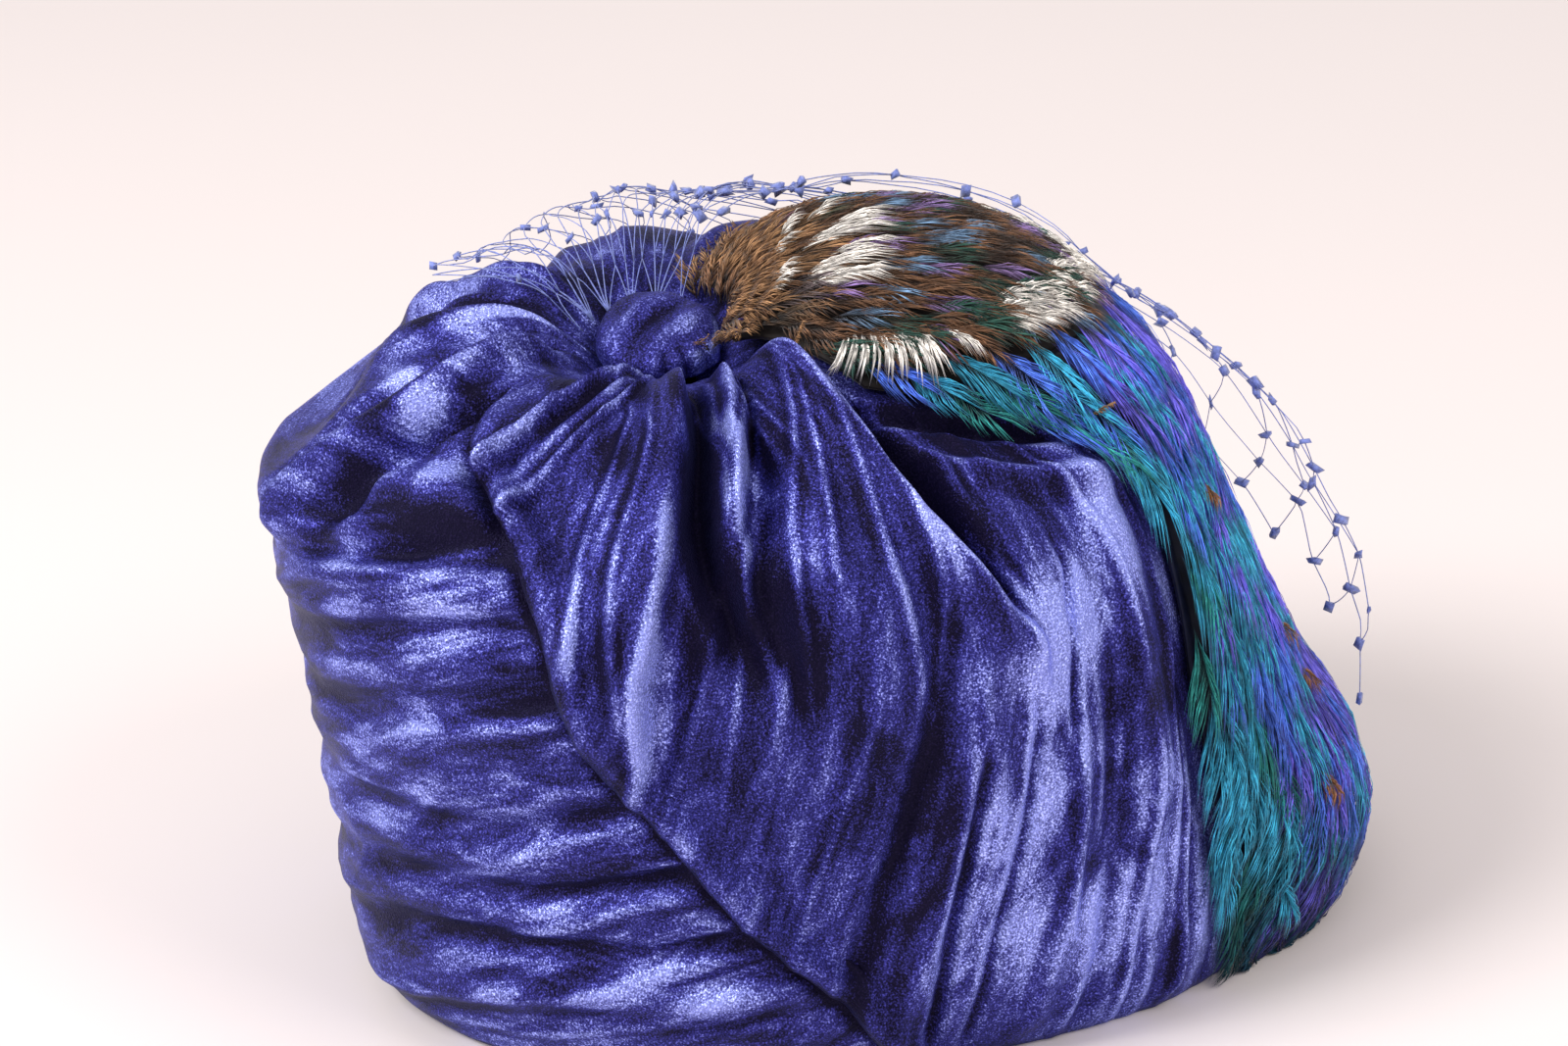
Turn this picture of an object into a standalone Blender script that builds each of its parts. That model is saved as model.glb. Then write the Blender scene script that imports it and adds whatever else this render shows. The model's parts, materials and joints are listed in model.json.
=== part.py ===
"""A draped velvet hat with a covered button, a feather pad and a net veil.

The hat stands on its rim. Its front faces -Y and the wearer's right is -X. Every soft piece is
drawn on one smooth crown, in two measures: turn, the angle in degrees from the front round by the
wearer's right, and up, the share of the way from the rim (0) to the gather under the button (1).
"""

import math

import bmesh
import bpy
import numpy as np
from mathutils import Vector

# Crown, in metres
RIM_LENGTH = 0.206         # outside, front to back
RIM_WIDTH = 0.172          # outside, side to side
FRONT_RADIUS = 0.083       # from the drape's centre to the front of the shoulder
BACK_RADIUS = 0.116        # the same to the back
SIDE_RADIUS = 0.099        # the same to the widest place of the sides
SHOULDER_HEIGHT = 0.116
CROWN_HEIGHT = 0.152
WELL_DEPTH = 0.016         # from the crest down to the gather
GATHER_RADIUS = 0.008
GATHER_BACK = 0.032        # the gather lies this far behind the rim's centre
GATHER_SIDE = 0.009        # and this far to the wearer's right
TOP_SLOPE = 0.09           # the top's near half falls towards the wearer's right
TOP_ROUNDING = 0.02        # over this width it levels out

# Velvet
WALL = 0.0022
PLEAT_RISE = 0.0070        # the highest pleat that runs up the crown
BAND_RISE = 0.0036         # the highest fold that runs round it
LAP_RISE = 0.0030          # the turned edge of the side panel stands this proud
LAP_WIDTH = 4.5            # degrees
FOLD_FINEST = 4.5          # degrees, the narrowest flank of a pleat here

# Button
BUTTON_DIAMETER = 0.0286
BUTTON_RISE = 0.0105
BUTTON_EDGE = 0.0030
BUTTON_FLAT = 0.94         # the flat base's share of the diameter
BUTTON_TILT = 8.0          # degrees, towards the wearer's right
BUTTON_GAP = 0.0007        # over the gathered velvet
STEM_DIAMETER = 0.0080
STEM_REACH = 0.0060        # below the gather

# Feather pad
PAD_RISE = 0.0240          # the thickest place, low on the front
PAD_EDGE = 0.0030
PAD_GAP = 0.0008           # over the crown's smooth form
PAD_PRESS = 0.0008         # how deep it presses the velvet under it
LOCK_RISE = 0.0034         # a feather's tip over the row below it
LOCK_REACH = 0.35          # how far a tip lies over that row, a share of the row
TRACT_GAP = 0.0006         # between two tracts
TIP_LIFT = 0.0030          # the lowest feather tip over the floor
COLLAR_WIDTH = 0.0150

# Veil
STRAND = 0.0012
VEIL_REST = 0.0030         # over what it covers
VEIL_LOFT = 0.0050         # how far it puffs up more, over the far side of the top
VEIL_STAND = 0.0215        # how far it bows out more, in front
VEIL_EDGE_RADIUS = 0.0165  # its gathered edge, round the button
NET_REACH = 8.0            # degrees, a strand clears whatever lies this near it

CLEARANCE = 0.0003
DRAPE_LENGTH = 0.265       # from the rim to the gather, along the cloth

# The crown's walls. Heights are shares of SHOULDER_HEIGHT, centres of GATHER_BACK, and the three
# radii go from the rim's (0) to the named radius (1).
WALL_SECTIONS = (
    # name,     up,   height, centre, front, back, side
    ("rim",     0.00, 0.000, 0.00, 0.00, 0.00, 0.00),
    ("flare",   0.05, 0.086, 0.00, 0.00, 0.38, 0.38),
    ("low",     0.16, 0.300, 0.00, 0.10, 0.62, 0.77),
    ("belly",   0.32, 0.600, 0.00, 0.45, 0.85, 1.00),
    ("high",    0.45, 0.860, 0.09, 0.80, 1.00, 0.92),
    ("edge",    0.53, 1.000, 0.19, 1.00, 0.85, 0.54),
)
# The crown's top. Rise is a share of CROWN_HEIGHT - SHOULDER_HEIGHT, sink of WELL_DEPTH, centres
# of GATHER_BACK, and the radii go from GATHER_RADIUS (0) to the named radius (1).
TOP_SECTIONS = (
    # name,     up,   rise, sink, centre, front, back,  side
    ("brow",    0.62, 0.44, 0.00, 0.375, 0.907, 0.796, 0.780),
    ("crest",   0.75, 0.89, 0.00, 0.690, 0.693, 0.519, 0.527),
    ("top",     0.84, 1.00, 0.00, 0.875, 0.400, 0.278, 0.330),
    ("well",    0.93, 1.00, 0.31, 0.970, 0.147, 0.120, 0.132),
    ("gather",  1.00, 1.00, 1.00, 1.000, 0.000, 0.000, 0.000),
)
ROUNDNESS = 2.25           # exponent of each section's outline

# Pleats that run up the side panel. Up and turn are given at the foot, middle and head, then the
# widths to the front and to the back in degrees, and the rise as a share of PLEAT_RISE.
SIDE_PLEATS = (
    # name,           up at,              turn at,             front, back, rise
    ("lens",          (0.38, 0.58, 0.82), (118.5, 111.5, 97),   2.4, 14.0,  1.00),
    ("lens valley",   (0.44, 0.62, 0.84), (104.5, 106, 92),     4.5,  4.0, -1.10),
    ("strap",         (0.60, 0.70, 0.84), (102, 95.4, 83),      3.6,  3.4,  0.90),
    ("strap valley",  (0.42, 0.55, 0.70), (99, 100.5, 91),      4.5,  2.5, -0.60),
    ("long roll",     (0.40, 0.60, 0.84), (90, 87, 71),        10.0,  8.0,  0.60),
    ("cut fold",      (0.44, 0.60, 0.84), (69, 75.8, 66.5),     1.8,  9.0,  1.00),
    ("cut valley",    (0.48, 0.62, 0.84), (70, 71.5, 62),       4.5,  2.4, -0.90),
    ("short fold",    (0.47, 0.55, 0.65), (68.5, 70, 66.5),     2.4,  1.6,  0.45),
    ("corner",        (0.22, 0.46, 0.62), (55, 52, 46),         6.0,  6.0,  0.45),
    ("low valley",    (0.06, 0.27, 0.46), (98, 88.5, 80),       3.4,  3.0, -0.45),
    ("low roll",      (0.05, 0.24, 0.44), (91, 82, 75),         4.0,  4.5,  0.36),
    ("hem roll",      (0.02, 0.16, 0.34), (72, 68, 64),         4.0,  4.0,  0.30),
    ("hem valley",    (0.02, 0.18, 0.36), (64, 61, 59),         3.0,  3.0, -0.30),
    ("upper edge",    (0.64, 0.74, 0.88), (138, 131, 112),      3.0,  3.0,  0.55),
    ("lower edge",    (0.52, 0.66, 0.86), (131, 131, 108),      2.6,  4.0,  0.40),
)
# Pleats that run up the back panel, in the same columns. Those past 180 are on the far side.
BACK_PLEATS = (
    ("back roll",     (0.54, 0.70, 0.88), (170, 157.5, 151),    6.0,  5.5,  0.95),
    ("under roll",    (0.56, 0.70, 0.88), (160, 150, 132),      5.0,  5.0, -0.85),
    ("under loop",    (0.54, 0.71, 0.90), (174, 165, 160),      5.0,  6.0, -0.75),
    ("loop",          (0.75, 0.83, 0.93), (189, 188, 182),     10.0,  6.0,  0.75),
    ("loop mouth",    (0.72, 0.83, 0.93), (203, 197, 198),      5.0,  5.0, -1.10),
    ("upper flap",    (0.70, 0.80, 0.93), (214, 216, 220),      8.0,  9.0,  1.15),
    ("shoulder fall", (0.57, 0.69, 0.82), (196, 201, 228),     26.0, 28.0, -1.15),
    ("far crease",    (0.56, 0.74, 0.92), (238, 240, 238),      7.0,  7.0, -0.60),
    ("far hump",      (0.54, 0.74, 0.92), (262, 264, 258),     12.0, 12.0,  0.35),
    ("far valley",    (0.54, 0.72, 0.90), (280, 280, 276),      5.0,  5.0, -0.50),
    ("far roll",      (0.50, 0.70, 0.88), (293, 292, 290),      7.0,  7.0,  0.20),
    ("far fold",      (0.30, 0.46, 0.60), (298, 295, 292),      6.0,  5.0,  0.40),
)
# Folds that run round the panels: turn and up at the two ends, the widths below and above as
# shares of the drape, and the rise as a share of BAND_RISE.
SIDE_BANDS = (
    # name,             turn at,    up at,        below, above, rise
    ("hollow rim",      (46,  66), (0.58, 0.65),  0.040, 0.022, 0.90),
    ("hollow",          (44,  66), (0.64, 0.72),  0.030, 0.035, -1.30),
)
BACK_BANDS = (
    # name,             turn at,    up at,        below, above, rise
    ("shoulder dome",  (134, 160), (0.64, 0.60),  0.05,  0.05,  1.30),
    ("shoulder band",  (126, 186), (0.58, 0.47),  0.024, 0.030, -0.90),
    ("upper band",     (123, 205), (0.49, 0.38),  0.034, 0.022, -0.70),
    ("middle band",    (121, 200), (0.42, 0.31),  0.022, 0.036, -0.90),
    ("waist band",     (115, 210), (0.32, 0.20),  0.036, 0.024, -0.70),
    ("low band",       (109, 190), (0.26, 0.13),  0.024, 0.032, -0.80),
    ("hem band",       (103, 200), (0.19, 0.07),  0.028, 0.020, -0.70),
    ("hem roll",       ( 96, 180), (0.13, 0.04),  0.022, 0.028,  0.60),
    ("far upper",      (200, 318), (0.50, 0.46),  0.030, 0.024, -0.70),
    ("far middle",     (188, 300), (0.37, 0.40),  0.026, 0.036,  0.70),
    ("far waist",      (206, 322), (0.30, 0.27),  0.030, 0.022, -0.80),
    ("far low",        (184, 296), (0.20, 0.22),  0.024, 0.030, -0.60),
    ("far hem",        (200, 326), (0.11, 0.09),  0.030, 0.020, -0.70),
)
# The diagonal seam between the panels, from the rim up to the gather.
SEAM = (
    # up,  turn
    (0.00,  84), (0.12,  97), (0.19, 106), (0.29, 114), (0.35, 120), (0.44, 124),
    (0.50, 125), (0.58, 128), (0.69, 138), (0.78, 137), (1.00, 132),
)
# Half widths of the feather pad in degrees, from the front to its two edges, and its rise as a
# share of PAD_RISE.
PAD_SECTIONS = (
    # up,  near, far,  rise
    (0.00, 29, 29, 0.40),
    (0.04, 32, 31, 0.62),
    (0.10, 37, 34, 0.80),
    (0.16, 41, 38, 0.70),
    (0.24, 44, 42, 0.36),
    (0.35, 45, 43, 0.20),
    (0.45, 42, 42, 0.16),
    (0.52, 39, 41, 0.20),
    (0.60, 38, 42, 0.30),
    (0.66, 43, 44, 0.38),
    (0.70, 50, 46, 0.42),
    (0.755, 61, 50, 0.46),
    (0.82, 57, 52, 0.46),
    (0.88, 52, 52, 0.36),
    (0.93, 48, 50, 0.16),
)
PAD_TOP = 0.925
COLLAR_UP = 0.665          # the collar's middle at the front, a share of the drape
COLLAR_LIFT = 0.09         # and how much higher it lies at its ends
COLLAR_TURN = -5           # where it is lowest
# The veil's free edge, from its end at the back round the far side to the front.
VEIL_EDGE = (
    # turn, up
    (200, 0.79), (230, 0.70), (270, 0.50), (310, 0.34), (345, 0.21), (363, 0.16),
)
# Its front end, which leans back over the far side towards the gather.
VEIL_FRONT = (
    # up,  turn
    (0.16, 363), (0.40, 361), (0.58, 354), (0.66, 346), (0.72, 322), (0.80, 304), (1.0, 292),
)
VEIL_BOW = (
    # up,  share of VEIL_STAND at the front
    (0.15, 0.05), (0.21, 0.66), (0.28, 1.00), (0.36, 0.94), (0.42, 0.92), (0.46, 0.76),
    (0.52, 0.42), (0.58, 0.10), (0.64, 0.00), (1.0, 0.00),
)


def smooth(share):
    """Ease from 0 to 1."""
    share = np.clip(share, 0, 1)
    return share * share * (3 - 2 * share)


def column(rows, index):
    return np.array([row[index] for row in rows], float)


def through(knots, values, at):
    """A smooth curve through the values at the knots."""
    slopes = np.gradient(values, knots)
    i = np.clip(np.searchsorted(knots, at, side="right") - 1, 0, len(knots) - 2)
    span = knots[i + 1] - knots[i]
    s = np.clip((at - knots[i]) / span, 0, 1)
    a, b = values[i], values[i + 1]
    return ((2 * s - 3) * s * s + 1) * a + (3 - 2 * s) * s * s * b \
        + span * (s * (1 - s) ** 2 * slopes[i] - s * s * (1 - s) * slopes[i + 1])


def section_columns():
    """Height, centre and the three radii at every section, with their places up the drape."""
    rise = CROWN_HEIGHT - SHOULDER_HEIGHT
    radii = ((4, 5, RIM_LENGTH / 2, FRONT_RADIUS), (5, 6, RIM_LENGTH / 2, BACK_RADIUS),
             (6, 7, RIM_WIDTH / 2, SIDE_RADIUS))
    up = np.concatenate((column(WALL_SECTIONS, 1), column(TOP_SECTIONS, 1)))
    height = np.concatenate((
        SHOULDER_HEIGHT * column(WALL_SECTIONS, 2),
        SHOULDER_HEIGHT + rise * column(TOP_SECTIONS, 2) - WELL_DEPTH * column(TOP_SECTIONS, 3)))
    centre = GATHER_BACK * np.concatenate((column(WALL_SECTIONS, 3), column(TOP_SECTIONS, 4)))
    reach = [np.concatenate((rim + (full - rim) * column(WALL_SECTIONS, low),
                             GATHER_RADIUS + (full - GATHER_RADIUS) * column(TOP_SECTIONS, high)))
             for low, high, rim, full in radii]
    return up, height, centre, reach


SECTION_UP, SECTION_HEIGHT, SECTION_CENTRE, SECTION_REACH = section_columns()


def crown(turn, up):
    """Points on the smooth crown, under every fold."""
    turn, up = np.broadcast_arrays(np.asarray(turn, float), np.asarray(up, float))
    angle = np.radians(turn)
    ahead, aside = np.cos(angle), np.sin(angle)
    front, back, side = (through(SECTION_UP, reach, up) for reach in SECTION_REACH)
    length = np.where(ahead > 0, front, back)
    radius = (np.abs(ahead / length) ** ROUNDNESS + np.abs(aside / side) ** ROUNDNESS) \
        ** (-1 / ROUNDNESS)
    lean = smooth((up - 0.45) / 0.4)
    x = -radius * aside - GATHER_SIDE * lean
    y = through(SECTION_UP, SECTION_CENTRE, up) - radius * ahead
    fall = (x - np.hypot(x, TOP_ROUNDING)) / 2
    z = through(SECTION_UP, SECTION_HEIGHT, up) + TOP_SLOPE * lean * fall
    return np.stack((x, y, z), -1)


def outward(turn, up):
    """The crown's outward direction, level along the rim so that the rim stays flat."""
    step = 0.002
    across = crown(turn - 0.2, up) - crown(turn + 0.2, up)
    along = crown(turn, np.minimum(up + step, 1)) - crown(turn, np.maximum(up - step, 0))
    normal = np.cross(across, along)
    normal[..., 2] *= smooth(np.asarray(up) / 0.06)
    return normal / np.linalg.norm(normal, axis=-1, keepdims=True)


def seam_turn(up):
    return np.interp(up, column(SEAM, 0), column(SEAM, 1))


def signed(turn):
    """The turn from the front, with the far side negative."""
    return (np.asarray(turn, float) + 180) % 360 - 180


def pad_edges(up):
    ups = column(PAD_SECTIONS, 0)
    return np.interp(up, ups, column(PAD_SECTIONS, 1)), np.interp(up, ups, column(PAD_SECTIONS, 2))


def cover(turn, up):
    """1 under the feather pad and 0 away from it: the hidden velvet lies plain."""
    near, far = pad_edges(up)
    place = signed(turn)
    past = np.where(place > 0, place - near, -place - far)
    return smooth(1.4 - past / 4) * smooth((0.97 - up) / 0.03)


def hump(across, low, high):
    """A fold's section: 1 at its ridge, 0 at the named widths to either side."""
    share = 1 - np.abs(np.where(across < 0, across / low, across / high))
    return smooth(share)


def pleats(rows, turn, up):
    """The summed rise of pleats that run up the crown."""
    total = np.zeros(np.shape(turn))
    for _, ups, turns, front, back, rise in rows:
        ridge = through(np.array(ups), np.array(turns, float), up)
        ends = smooth((up - ups[0] + 0.06) / 0.10) * smooth((ups[2] + 0.06 - up) / 0.10)
        widths = max(front, FOLD_FINEST), max(back, FOLD_FINEST)
        total += rise * ends * hump(turn - ridge, *widths)
    return PLEAT_RISE * total


def bands(rows, turn, up):
    """The summed rise of folds that run round the crown."""
    total = np.zeros(np.shape(turn))
    for index, (_, turns, ups, below, above, rise) in enumerate(rows):
        share = (turn - turns[0]) / (turns[1] - turns[0])
        sway = 0.012 * np.sin(np.radians(turn * 5 + 70 * index))
        ridge = ups[0] + (ups[1] - ups[0]) * share + sway
        ends = smooth((turn - turns[0] + 8) / 12) * smooth((turns[1] + 8 - turn) / 16)
        total += rise * ends * hump(up - ridge, below, above)
    return BAND_RISE * total


def calm(turn, up):
    """Folds die away at the rim, at the gather and under the feathers."""
    return (0.25 + 0.75 * smooth(up / 0.05)) * (0.05 + 0.95 * smooth((1 - up) / 0.26)) \
        * (1 - cover(turn, up))


def lap(turn, up):
    """1 along the seam and 0 away from it; it dies out before the button."""
    return smooth(1 - np.abs(seam_turn(up) - turn) / LAP_WIDTH) * smooth((0.92 - up) / 0.12)


def side_folds(turn, up):
    folds = calm(turn, up) * (pleats(SIDE_PLEATS, turn, up) + bands(SIDE_BANDS, turn, up))
    return folds + LAP_RISE * lap(turn, up) - PAD_PRESS * cover(turn, up)


def back_folds(turn, up):
    folds = pleats(BACK_PLEATS, turn, up) + bands(BACK_BANDS, turn, up)
    return calm(turn, up) * folds * (1 - lap(turn, up)) - PAD_PRESS * cover(turn, up)


def folds_at(turn, up):
    """The folds of whichever panel lies at the place."""
    return np.where(turn < seam_turn(up), side_folds(turn, up), back_folds(turn, up))


def pad_height(turn, up):
    """The feather pad's smooth rise over the velvet, 0 outside it."""
    near, far = pad_edges(up)
    place = signed(turn)
    share = np.abs(place) / np.where(place > 0, near, far)
    rise = np.interp(up, column(PAD_SECTIONS, 0), column(PAD_SECTIONS, 3)) * PAD_RISE
    inside = (share < 1) & (up < PAD_TOP)
    return np.where(inside, PAD_EDGE + (rise - PAD_EDGE) * np.clip(1 - share ** 2.5, 0, 1), 0.0)


def collar_middle(turn):
    ends = np.abs(signed(turn) - COLLAR_TURN) / 55
    return COLLAR_UP + COLLAR_LIFT * ends ** 1.5


def make_material(name, color, roughness, sheen=0.0):
    material = bpy.data.materials.new(name)
    material.use_nodes = True
    shader = material.node_tree.nodes["Principled BSDF"]
    shader.inputs["Base Color"].default_value = (*color, 1)
    shader.inputs["Roughness"].default_value = roughness
    shader.inputs["Sheen Weight"].default_value = sheen
    return material


def make_object(name, bm, material, parent):
    """Turn a finished bmesh into a named object with its faces pointing out."""
    bmesh.ops.recalc_face_normals(bm, faces=bm.faces[:])
    if bm.calc_volume(signed=True) < 0:
        bmesh.ops.reverse_faces(bm, faces=bm.faces[:])
    mesh = bpy.data.meshes.new(name)
    bm.to_mesh(mesh)
    bm.free()
    mesh.materials.append(material)
    mesh.shade_smooth()
    mesh.set_sharp_from_angle(angle=math.radians(75))
    piece = bpy.data.objects.new(name, mesh)
    piece.parent = parent
    bpy.context.collection.objects.link(piece)
    return piece


def make_sheet(name, columns, rows, place, material, parent):
    """A curved wall: a grid drawn on the crown, extruded to its inner face."""
    bm = bmesh.new()
    bmesh.ops.create_grid(bm, x_segments=columns, y_segments=rows, size=0.5)
    made = bmesh.ops.extrude_face_region(bm, geom=bm.faces[:])["geom"]
    inner = {item for item in made if isinstance(item, bmesh.types.BMVert)}
    outer = [vert for vert in bm.verts if vert not in inner]
    for verts, is_outer in ((outer, True), (list(inner), False)):
        shares = np.array([vert.co[:2] for vert in verts]) + 0.5
        points = place(shares[:, 0], shares[:, 1], is_outer)
        for vert, point in zip(verts, points):
            vert.co = point
    return make_object(name, bm, material, parent)


def side_panel(share, rows, is_outer):
    """From the hidden front seam back to the lapped seam."""
    up = rows
    gap = np.degrees(CLEARANCE / 2 / GATHER_RADIUS) * smooth((up - 0.6) / 0.4) + 0.12
    turn = np.interp(share, (0, 0.14, 1), (0, 0.26, 1)) * (seam_turn(up) - 2 * gap) + gap
    rise = side_folds(turn, up)
    if not is_outer:
        rise = rise - LAP_RISE * lap(turn, up) - WALL
    return crown(turn, up) + outward(turn, up) * rise[:, None]


def back_panel(share, rows, is_outer):
    """From the lapped seam round the back and the far side to the hidden front seam."""
    up = rows
    gap = np.degrees(CLEARANCE / 2 / GATHER_RADIUS) * smooth((up - 0.6) / 0.4) + 0.12
    start = seam_turn(up) + gap
    turn = start + np.interp(share, (0, 0.55, 0.86, 1), (0, 0.42, 0.80, 1)) * (360 - gap - start)
    rise = back_folds(turn, up) - (0 if is_outer else WALL)
    return crown(turn, up) + outward(turn, up) * rise[:, None]


def tract(low, high, lanes, courses, ragged):
    """A placing function for courses of shingled feathers between two heights of the drape.

    Each course is three rows of the grid: the feathers' tips, their middles and their roots,
    which lie under the tips of the next course.
    """
    def place(share, rows, is_outer):
        lane = share * lanes
        point = 0.5 - 0.5 * np.cos(2 * math.pi * lane)
        foot = low(share) + ragged * point * smooth((1 - rows) / 0.5)
        number = np.rint(rows * courses * 3)
        course = np.minimum(number // 3, courses - 1)
        within = np.interp(number - 3 * course, (0, 1, 2, 3), (0, 0.55, 0.97, 1))
        rib = 0.5 + 0.5 * np.cos(2 * math.pi * (lane + 0.5 * (course % 2)))
        edge = smooth(np.minimum(share, 1 - share) / 0.06)
        level = course + within
        if is_outer:
            level = level - LOCK_REACH * rib * edge * ((within == 0) & (course > 0))
        up = foot + (high(share) - foot) * level / courses
        near, far = pad_edges(up)
        turn = near - share * (near + far)
        if not is_outer:
            return crown(turn, up) + outward(turn, up) * PAD_GAP
        lock = LOCK_RISE * (0.55 + 0.45 * rib) * (1 - within) * edge
        rise = np.maximum(pad_height(turn * 0.999, np.minimum(up, PAD_TOP - 0.001)), PAD_EDGE)
        return crown(turn, up) + outward(turn, up) * (rise + lock)[:, None]
    return place


def turn_of(share):
    """The turn that a share across the pad has, near its widest stretch."""
    return 50 - share * 110


def veil_point(share, rows):
    """The veil's middle surface, from its back end (share 0) round to the front (share 1)."""
    back = VEIL_EDGE[0][0]
    foot = back + share * (VEIL_EDGE[-1][0] - back)
    edge = np.interp(foot, column(VEIL_EDGE, 0), column(VEIL_EDGE, 1))
    up = edge + (veil_top() - edge) * rows
    turn = back + share * (np.interp(up, column(VEIL_FRONT, 0), column(VEIL_FRONT, 1)) - back)
    front = smooth((turn - 268) / 60)
    bow = VEIL_STAND * front * np.interp(up, column(VEIL_BOW, 0), column(VEIL_BOW, 1))
    under = np.zeros_like(turn)
    for aside in (-NET_REACH, 0, NET_REACH):
        for along in (-NET_REACH, 0, NET_REACH):
            place = turn + aside, np.clip(up + along / 180, 0, 0.999)
            pad = pad_height(*place)
            below = np.maximum(folds_at(*place), 0) + pad + LOCK_RISE * np.minimum(pad / PAD_EDGE, 1)
            under = np.maximum(under, below)
    loft = VEIL_LOFT * smooth((turn - 228) / 20) * smooth((up - 0.6) / 0.15)
    rest = STRAND / 2 + CLEARANCE + (VEIL_REST + loft) * smooth((veil_top() - up) / 0.05)
    return crown(turn, up) + outward(turn, up) * (under + rest + bow)[:, None]


def veil_top():
    """How far up the drape the veil's gathered edge lies."""
    ups = np.linspace(0.85, 1, 61)
    radii = np.linalg.norm((crown(270, ups) - crown(90, ups))[:, :2], axis=1) / 2
    return float(np.interp(VEIL_EDGE_RADIUS, radii[::-1], ups[::-1]))


def make_veil(material, parent):
    """A net of square cells set on their corners, each edge made a strand."""
    bm = bmesh.new()
    bmesh.ops.create_grid(bm, x_segments=8, y_segments=6, size=0.5)
    sides = [edge for edge in bm.edges if not edge.is_boundary]
    bmesh.ops.poke(bm, faces=bm.faces[:])
    bmesh.ops.dissolve_edges(bm, edges=sides, use_verts=False)
    shares = np.array([vert.co[:2] for vert in bm.verts]) + 0.5
    rows = np.interp(shares[:, 1], (0, 0.5, 0.833, 1), (0, 0.54, 0.94, 1))
    for vert, point in zip(bm.verts, veil_point(shares[:, 0], rows)):
        vert.co = point
    bmesh.ops.recalc_face_normals(bm, faces=bm.faces[:])
    mesh = bpy.data.meshes.new("veil")
    bm.to_mesh(mesh)
    bm.free()
    mesh.materials.append(material)
    veil = bpy.data.objects.new("veil", mesh)
    veil.parent = parent
    bpy.context.collection.objects.link(veil)
    strands = veil.modifiers.new("Strands", "WIREFRAME")
    strands.thickness = STRAND
    strands.use_boundary = True
    strands.use_even_offset = False
    return veil


def button_axis():
    tilt = math.radians(BUTTON_TILT)
    return np.array((-math.sin(tilt), 0, math.cos(tilt)))


def button_seat():
    """Where the button's base lies along its axis: just over the gathered velvet."""
    axis = button_axis()
    ring = crown(np.arange(0, 360, 10), 1.0)
    gather = ring.mean(axis=0)
    turn, up = np.meshgrid(np.arange(0, 360, 2.0), np.linspace(0.88, 1, 25))
    turn, up = turn.ravel(), up.ravel()
    points = crown(turn, up) + outward(turn, up) * folds_at(turn, up)[:, None] - gather
    height = points @ axis
    aside = np.linalg.norm(points - height[:, None] * axis, axis=1)
    under = aside < BUTTON_DIAMETER / 2 * BUTTON_FLAT + CLEARANCE
    return gather, float(height[under].max()) + BUTTON_GAP


def make_button(material, parent):
    """A domed cover over a flat base, on a stem that goes down through the gather."""
    gather, seat = button_seat()
    radius = BUTTON_DIAMETER / 2
    arc = [math.radians(angle) for angle in (12, 30, 48, 66, 80)]
    outline = [(0, BUTTON_RISE)]
    outline += [(radius * math.sin(a), BUTTON_EDGE + (BUTTON_RISE - BUTTON_EDGE) * math.cos(a))
                for a in arc]
    outline += [(radius, BUTTON_EDGE * 0.8), (radius * BUTTON_FLAT, 0), (STEM_DIAMETER / 2, 0),
                (STEM_DIAMETER / 2, -seat - STEM_REACH), (0, -seat - STEM_REACH)]
    bm = bmesh.new()
    verts = [bm.verts.new((x, 0, z)) for x, z in outline]
    edges = [bm.edges.new(pair) for pair in zip(verts, verts[1:])]
    bmesh.ops.spin(bm, geom=verts + edges, cent=(0, 0, 0), axis=(0, 0, 1),
                   angle=2 * math.pi, steps=20, use_merge=True)
    bmesh.ops.remove_doubles(bm, verts=bm.verts[:], dist=1e-6)
    button = make_object("button", bm, material, parent)
    button.location = gather + seat * button_axis()
    button.rotation_euler = (0, -math.radians(BUTTON_TILT), 0)
    return button


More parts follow.
